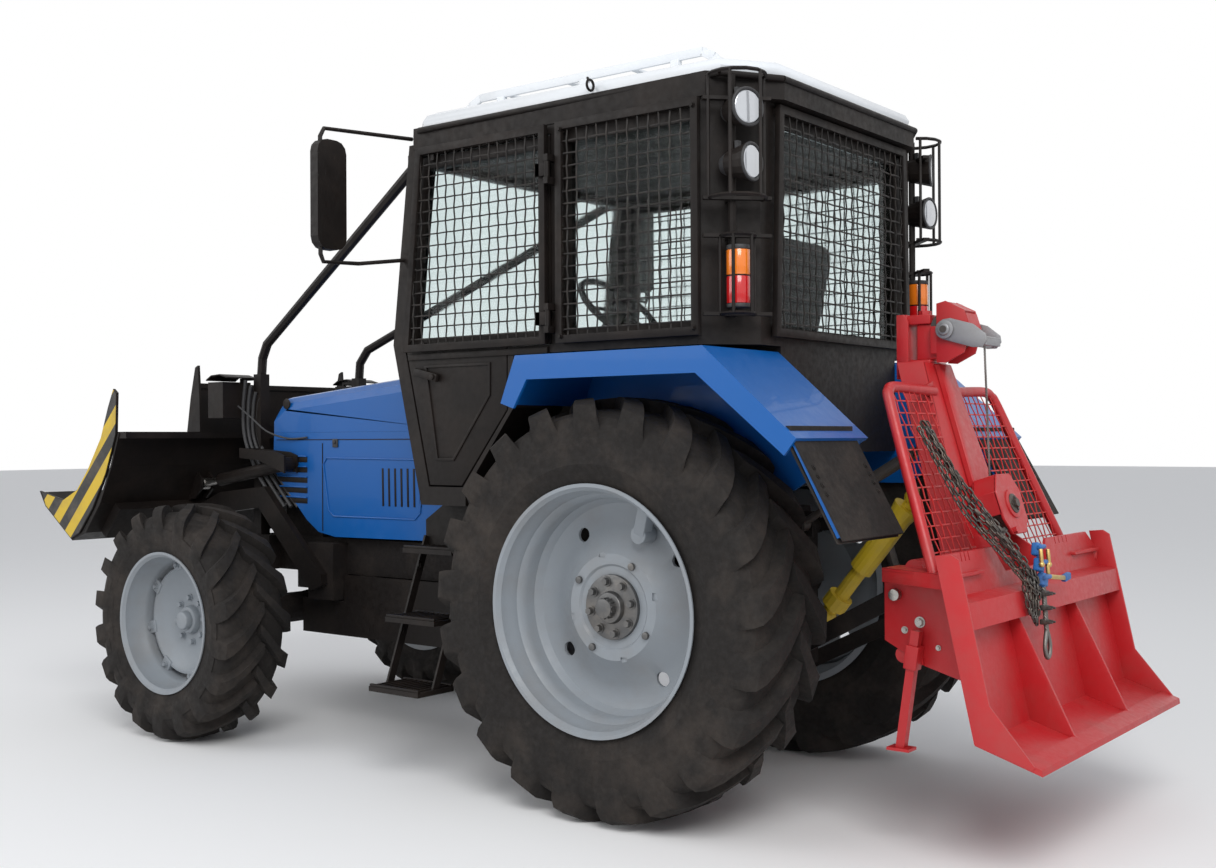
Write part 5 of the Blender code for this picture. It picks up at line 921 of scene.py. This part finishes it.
def make_rigging():
    """The mast rope, the choker chains hung on the net, and the hooks and thimble below."""
    top, low = Vector((-1.128, 0.030, 1.712)), Vector((on_mast(1.24) - 0.055, -0.040, 1.240))
    rope = Shape()
    strands = 5
    for k in range(strands):
        line = []
        for i in range(90):
            t = i / 89
            a = t * 60 + math.tau * k / strands
            at = top.lerp(low, t)
            line.append(at + Vector((math.cos(a), math.sin(a), 0)) * 0.0022)
        rope.tube(line, 0.0020, 5)
    rope.piece("mast_rope", "wire_rope", "winch", "steel", angle=60)

    random.seed(11)
    base = [(-1.070, 0.425, 1.410), (-1.130, 0.400, 1.280), (-1.195, 0.365, 1.150), (-1.280, 0.315, 1.030),
            (-1.345, 0.260, 0.930), (-1.380, 0.215, 0.860)]
    links = Shape()
    for k in range(7):
        spread = Vector((random.uniform(-0.012, 0.004), random.uniform(-0.045, 0.035), random.uniform(-0.030, 0.030)))
        line = []
        for i, p in enumerate(base):
            share = math.sin(math.pi * (i + 0.6) / len(base))
            jitter = Vector((random.uniform(-0.006, 0.004), random.uniform(-0.010, 0.010), random.uniform(-0.008, 0.008)))
            line.append(Vector(p) + spread * (0.45 + 0.75 * share) + jitter - Vector((0.004 * (k % 3), 0, 0)))
        chain(links, smooth_line(line, 6), roll=random.uniform(0, 3))
    for k in range(4):
        drop = [(-1.352 - 0.008 * k, 0.265 - 0.018 * k, 0.930), (-1.372 - 0.006 * k, 0.285 - 0.022 * k, 0.860),
                (-1.384, 0.275 - 0.018 * k, 0.800 - 0.014 * k), (-1.376, 0.230 - 0.010 * k, 0.860),
                (-1.370, 0.200, 0.930)]
        chain(links, smooth_line(drop, 6), roll=0.7 * k)
    links.piece("choker_chains", "chain_steel", "winch", "dark_steel", angle=60)

    shift = Matrix.Translation((0, HOOK_Y, 0))
    fittings = Shape()
    for x, y, z in ((-1.372, -0.006, 1.005), (-1.384, 0.008, 0.955), (-1.392, -0.004, 0.905)):
        fittings.box((x - 0.014, x + 0.014), (y - 0.020, y + 0.020), (z - 0.022, z + 0.022), 0.006,
                     Matrix.Rotation(0.25, 4, "X"))
        fittings.rod((x - 0.016, y - 0.026, z + 0.010), (x - 0.016, y + 0.026, z + 0.010), 0.008, 16, bevel=0.002)
    fittings.bar((-1.372, 0.0, 1.030), (-1.398, 0.0, 0.880), 0.018, 0.012, 0.003)
    fittings.bar((-1.395, -0.190, 0.893), (-1.400, -0.235, 0.902), 0.020, 0.026, 0.006)
    bmesh.ops.transform(fittings.bm, matrix=shift, verts=fittings.bm.verts)
    fittings.piece("choker_latches", "blue_fitting", "winch", "blue_paint")
    brass = Shape()
    brass.bar((-1.394, -0.020, 0.915), (-1.398, -0.200, 0.895), 0.012, 0.016, 0.003)
    for y, z in ((0.030, 0.985), (-0.036, 0.980), (-0.030, 0.940)):
        brass.rod((-1.398, y, z + 0.026), (-1.402, y, z - 0.024), 0.007, 16, bevel=0.002)
        brass.ball((-1.402, y, z - 0.026), 0.010)
    bmesh.ops.transform(brass.bm, matrix=shift, verts=brass.bm.verts)
    brass.piece("choker_pins", "brass_fitting", "winch", "yellow_guard")
    tail = Shape()
    for k in range(4):
        line = []
        for i in range(40):
            t = i / 39
            a = t * 26 + math.tau * k / 4
            at = Vector((-1.396, 0.0, 0.885)).lerp(Vector((-1.408, 0.004, 0.730)), t)
            line.append(at + Vector((math.cos(a), math.sin(a), 0)) * 0.0048)
        tail.tube(line, 0.0042, 6)
    eye = [(-1.408, 0.004, 0.735), (-1.409, 0.020, 0.705), (-1.410, 0.026, 0.680), (-1.411, 0.018, 0.655),
           (-1.411, 0.003, 0.645), (-1.411, -0.012, 0.655), (-1.410, -0.020, 0.680), (-1.409, -0.014, 0.705)]
    tail.tube(smooth_line(eye, 5, True), 0.0075, 8, True)
    bmesh.ops.transform(tail.bm, matrix=shift, verts=tail.bm.verts)
    tail.piece("choker_rope", "wire_rope", "winch", "steel", angle=60)
    clips = Shape()
    for z in (0.860, 0.812, 0.765):
        clips.box((-1.412, -1.388), (-0.014, 0.018), (z - 0.009, z + 0.009), 0.003)
        for y in (-0.012, 0.016):
            clips.rod((-1.410, y, z), (-1.424, y, z), 0.006, 6)
            clips.rod((-1.424, y, z), (-1.432, y, z), 0.0035, 10)
    bmesh.ops.transform(clips.bm, matrix=shift, verts=clips.bm.verts)
    clips.piece("choker_clips", "dark_steel", "winch")


# Body dress: roof, lamps, flaps, hood, blade, seat ------------------------------------------
CAGE_X, CAGE_Y = -0.520, 0.710


def make_roof():
    low = 2.666
    shape = Shape()
    outline = [(-0.580, 0.520), (-0.450, 0.700), (0.980, 0.740), (1.115, 0.620), (1.115, -0.620), (0.980, -0.740),
               (-0.450, -0.700), (-0.580, -0.520)]
    rings = []
    for z, shrink in ((low, 0.012), (low + 0.006, 0.004), (low + 0.026, 0.0), (low + 0.050, 0.012), (low + 0.066, 0.045),
                      (low + 0.078, 0.110), (low + 0.088, 0.220)):
        rings.append([shape.bm.verts.new((x - shrink * (1 if x > 0.5 else -1), y - shrink * (1 if y > 0 else -1), z))
                      for x, y in outline])
    for one, two in zip(rings, rings[1:]):
        for i in range(len(one)):
            j = (i + 1) % len(one)
            shape.bm.faces.new((one[i], one[j], two[j], two[i]))
    shape.bm.faces.new(rings[0][::-1])
    shape.bm.faces.new(rings[-1])
    for x in (0.10, 0.42, 0.74):
        shape.box((x - 0.06, x + 0.06), (-0.46, 0.46), (low + 0.084, low + 0.096), 0.004)
    for _, s in SIDES:
        rail = [(-0.330, s * 0.500, 2.745), (-0.290, s * 0.500, 2.790), (-0.240, s * 0.500, 2.818),
                (0.880, s * 0.500, 2.818), (0.940, s * 0.500, 2.790), (0.980, s * 0.500, 2.745)]
        for a, b in zip(rail, rail[1:]):
            shape.bar(a, b, 0.012, 0.034, 0.002)
        for x in (-0.12, 0.32, 0.76):
            shape.box((x - 0.018, x + 0.018), (s * 0.500 - 0.014, s * 0.500 + 0.014), (2.748, 2.806), 0.003)
    for x in (-0.235, 0.10, 0.42, 0.74):
        shape.bar((x, -0.500, 2.815), (x, 0.500, 2.815), 0.030, 0.010, 0.002)
    shape.piece("roof_shell", "white_roof", "chassis", nodes=["roof"])
    eye = Shape()
    for _, s in SIDES:
        eye.ring((0.10, s * 0.742, 2.700), (1, 0, 0), 0.020, 0.005, 24, 8)
        eye.bolt((0.30, s * 0.500, 2.806), (0, s, 0), 0.007, 0.006)
        gutter = [(-0.470, s * 0.738, 2.652), (0.980, s * 0.762, 2.652), (1.118, s * 0.640, 2.648)]
        eye.tube(gutter, 0.012, 10)
    eye.tube([(-0.600, -0.530, 2.652), (-0.600, 0.530, 2.652)], 0.012, 10)
    for _, s in SIDES:
        eye.tube([(-0.470, s * 0.738, 2.652), (-0.600, s * 0.530, 2.652)], 0.012, 10)
    eye.piece("roof_gutter", "black_paint", "chassis", "black_paint")


def make_flaps():
    for side, s in SIDES:
        y0, y1 = s * 0.515, s * 0.935
        shape = Shape()
        top, low = (-0.838, 1.412), (-1.034, 1.060)
        ways = Vector((low[0] - top[0], 0, low[1] - top[1])).normalized()
        out = Vector((ways.z, 0, -ways.x))
        corners = [(top[0], y, top[1]) for y in (y0, y1)] + [(low[0], y, low[1]) for y in (y1, y0)]
        moved = [Vector(c) + out * 0.0072 for c in corners]
        slab(shape, moved, out * 0.007, 0.0015)
        moved = [Vector(c) - out * 0.0072 for c in corners]
        slab(shape, moved, -out * 0.007, 0.0015)
        for share in (0.36, 0.44, 0.52, 0.60):
            for y in (0.55, 0.90):
                at = Vector(corners[0]).lerp(Vector(corners[3]), share)
                at.y = s * y
                shape.bolt(at + out * 0.014, out, 0.007, 0.004)
        shape.box((-0.858, -0.828), sorted((y0, y1)), (1.385, 1.425), 0.003)
        shape.piece(f"mud_flap_{side}", "tyre", "chassis", "black_paint")


def make_lamps():
    for side, s in SIDES:
        glass, bezel, orange, red = Shape(), Shape(), Shape(), Shape()
        for z, turn in ((2.520, 0.35), (2.335, 0.0)):
            face = Vector((-math.cos(turn), s * math.sin(turn), 0))
            middle = Vector((CAGE_X - 0.005, s * CAGE_Y, z))
            glass.rod(middle + face * 0.0555, middle + face * 0.060, 0.058, 32, 0.054, bevel=0.002)
            bezel.ring(middle + face * 0.057, face, 0.063, 0.0055, 40, 10)
            bezel.rod(middle - face * 0.060, middle - face * 0.034, 0.030, 24, 0.044)
            bezel.bar(middle + Vector((0, 0, 0.050)), middle + Vector((0, 0, 0.078)), 0.020, 0.014)
        x, y = CAGE_X - 0.005, s * CAGE_Y
        orange.rod((x, y, 1.948), (x, y, 2.036), 0.0425, 32, bevel=0.004)
        red.rod((x, y, 1.850), (x, y, 1.944), 0.0425, 32, bevel=0.004)
        bezel.rod((x, y, 2.036), (x, y, 2.052), 0.043, 32, bevel=0.003)
        bezel.rod((x, y, 1.836), (x, y, 1.850), 0.043, 32, bevel=0.003)
        glass.piece(f"work_lamp_glass_{side}", "lamp_glass", "chassis", "glass")
        bezel.piece(f"work_lamp_bezel_{side}", "dark_plastic", "chassis")
        orange.piece(f"tail_lamp_orange_{side}", "orange_lens", "chassis", "glass")
        red.piece(f"tail_lamp_red_{side}", "red_lens", "chassis", "glass")


def make_hood_detail():
    for side, s in SIDES:
        y = s * 0.3505
        dark = Shape()
        # The five louvre slots and the seven grille slots are black strips: painted shade standing in for the dark
        # openings behind them.
        for k in range(5):
            z = 1.092 + 0.050 * k
            dark.bar((2.180, y, z), (2.400, y, z + 0.004), 0.004, 0.026, 0.001)
        for k in range(7):
            x = 1.400 + 0.041 * k
            dark.bar((x, y, 1.080), (x + 0.003, y, 1.255), 0.003, 0.012, 0.001)
        dark.rod((2.332, s * 0.3485, 1.566), (2.332, s * 0.3545, 1.566), 0.026, 32, bevel=0.002)
        dark.bar((2.068, y, 0.950), (2.068, y, 1.372), 0.003, 0.005)
        dark.bar((1.200, y, 1.389), (2.410, y, 1.389), 0.003, 0.004)
        dark.piece(f"hood_vents_{side}", "black_paint", "chassis", "black_paint")
        lip = Shape()
        for k in range(5):
            z = 1.108 + 0.050 * k
            lip.bar((2.180, s * 0.354, z), (2.400, s * 0.354, z + 0.004), 0.010, 0.006, 0.0015)
        border = [(2.066, 1.301), (1.374, 1.295), (1.407, 1.024), (2.017, 1.024)]
        points = []
        for a, b in zip(border, border[1:] + border[:1]):
            a, b = Vector(a), Vector(b)
            way = (b - a).normalized()
            points += [a + way * 0.03, b - way * 0.03]
        ring = [(p.x, s * 0.352, p.y) for p in points]
        lip.tube(ring, 0.004, 8, True)
        lip.piece(f"hood_panel_{side}", "blue_paint", "chassis")
        latch = Shape().box((1.955, 1.990), sorted((s * 0.349, s * 0.358)), (1.352, 1.392), 0.003)
        latch.rod((1.972, s * 0.356, 1.378), (1.972, s * 0.366, 1.378), 0.010, 20, bevel=0.002)
        latch.piece(f"hood_latch_{side}", "dark_plastic", "chassis")


def hazard_plate(side, s):
    """The curved end plate of the front blade with slanting stripes on its outer face."""
    face, dark = Shape(), Shape()
    outline = [(2.890, 1.636), (2.935, 1.548), (2.996, 1.403), (3.109, 1.250), (3.207, 1.145), (3.335, 1.091),
               (3.530, 1.128), (3.495, 1.062), (3.264, 0.904), (3.192, 0.934), (3.071, 1.062), (2.958, 1.232),
               (2.873, 1.420), (2.865, 1.616)]
    face.plate("xz", [outline], s * 0.9502, s * 0.9515)
    face.piece(f"blade_stripe_base_{side}", "hazard", "front_blade", "yellow_guard")


def make_seat():
    cover = Shape()
    cover.box((-0.235, 0.275), (-0.255, 0.255), (1.500, 1.640), 0.045)
    cover.box((-0.150, 0.285), (-0.225, 0.225), (1.625, 1.665), 0.018)
    turn = Matrix.Rotation(math.atan2(-0.12, 0.60), 4, "Y")
    cover.box((-0.335, -0.185), (-0.235, 0.235), (1.560, 2.175), 0.050, turn)
    cover.box((-0.275, -0.165), (-0.200, 0.200), (1.640, 2.090), 0.030, turn)
    for _, s in SIDES:
        cover.box((-0.235, 0.095), sorted((s * 0.228, s * 0.298)), (1.700, 1.770), 0.020)
        cover.box((-0.225, -0.165), sorted((s * 0.240, s * 0.286)), (1.585, 1.720), 0.010)
        cover.tube([(-0.200, s * 0.235, 1.648), (0.250, s * 0.235, 1.648)], 0.006, 8)
    cover.box((-0.205, 0.185), (-0.175, 0.175), (1.385, 1.510), 0.012)
    made = cover.piece("seat_cushions", "seat_cloth", "chassis", nodes=["seat"])


def make_steps_detail():
    for side, s in SIDES:
        shape = Shape()
        for z, y0, y1 in ((0.940, 0.61, 0.76), (0.665, 0.68, 0.86), (0.395, 0.75, 0.95)):
            for k in range(9):
                x = 0.830 + 0.030 * k
                shape.box((x - 0.004, x + 0.004), sorted((s * (y0 + 0.012), s * (y1 - 0.012))), (z, z + 0.007), 0.001)
            for y in (y0 + 0.008, y1 - 0.008):
                shape.box((0.812, 1.088), sorted((s * (y - 0.006), s * (y + 0.006))), (z, z + 0.010), 0.0015)
        for x in (0.82, 1.08):
            for z in (0.86, 0.60):
                at = Vector((x, s * (0.625 + (0.98 - z) / 0.60 * 0.225), z)) + Vector((0, s * 0.006, 0))
                shape.bolt(at, (0, s, 0.35), 0.010, 0.008)
        shape.piece(f"step_grip_{side}", "black_paint", "chassis")


def make_front_detail():
    lens, case, hose = Shape(), Shape(), Shape()
    for _, s in SIDES:
        lens.plate("yz", [[(s * 0.342, 1.512), (s * 0.488, 1.512), (s * 0.488, 1.668), (s * 0.342, 1.668)]],
                   2.7602, 2.7625)
        case.ring((2.7615, s * 0.415, 1.590), (1, 0, 0), 0.060, 0.006, 36, 8)
        roof = [(2.600, s * 0.415, 1.700), (2.660, s * 0.415, 1.716), (2.730, s * 0.415, 1.712), (2.772, s * 0.415, 1.690)]
        for a, b in zip(roof, roof[1:]):
            case.bar(a, b, 0.180, 0.006, 0.001)
        pipe = [(2.330, s * 0.395, 1.302), (2.420, s * 0.395, 1.310), (2.620, s * 0.395, 1.285), (2.760, s * 0.395, 1.262)]
        for k in range(4):
            y = s * (0.392 - 0.016 * k)
            line = [(2.600 - 0.02 * k, y, 1.690 - 0.03 * k), (2.620 - 0.02 * k, y, 1.560), (2.612 - 0.015 * k, y, 1.420),
                    (2.560 - 0.02 * k, y, 1.300), (2.470 - 0.03 * k, y, 1.180), (2.350 - 0.03 * k, y, 1.060)]
            hose.tube(smooth_line(line, 6), 0.009, 10)
    lens.piece("headlight_lens", "lamp_glass", "chassis", "glass")
    case.piece("headlight_case", "black_paint", "chassis")
    hose.piece("front_hoses", "dark_plastic", "chassis", "black_paint", angle=60)
    cable = Shape()
    for _, s in SIDES:
        line = [(2.612, s * 0.430, 1.560), (2.520, s * 0.420, 1.500), (2.420, s * 0.400, 1.430), (2.300, s * 0.365, 1.395),
                (2.175, s * 0.356, 1.400)]
        cable.tube(smooth_line(line, 8), 0.0045, 8)
    cable.piece("headlight_cable", "dark_plastic", "chassis", "black_paint", angle=60)


def dress_frame():
    slots = {entry["node"]: entry["material_slot"] for entry in frame["record"]["subparts"]}
    for name, piece in frame["nodes"].items():
        piece.data.materials.clear()
        piece.data.materials.append(LOOKS[slots[name]])


add_camera()
add_studio()
dress_frame()
make_wheels()
make_guards()
make_winch_frame()
make_pulleys()
make_rigging()
make_roof()
make_flaps()
make_lamps()
make_hood_detail()
make_steps_detail()
make_front_detail()
for blade_side, blade_sign in SIDES:
    hazard_plate(blade_side, blade_sign)
make_seat()
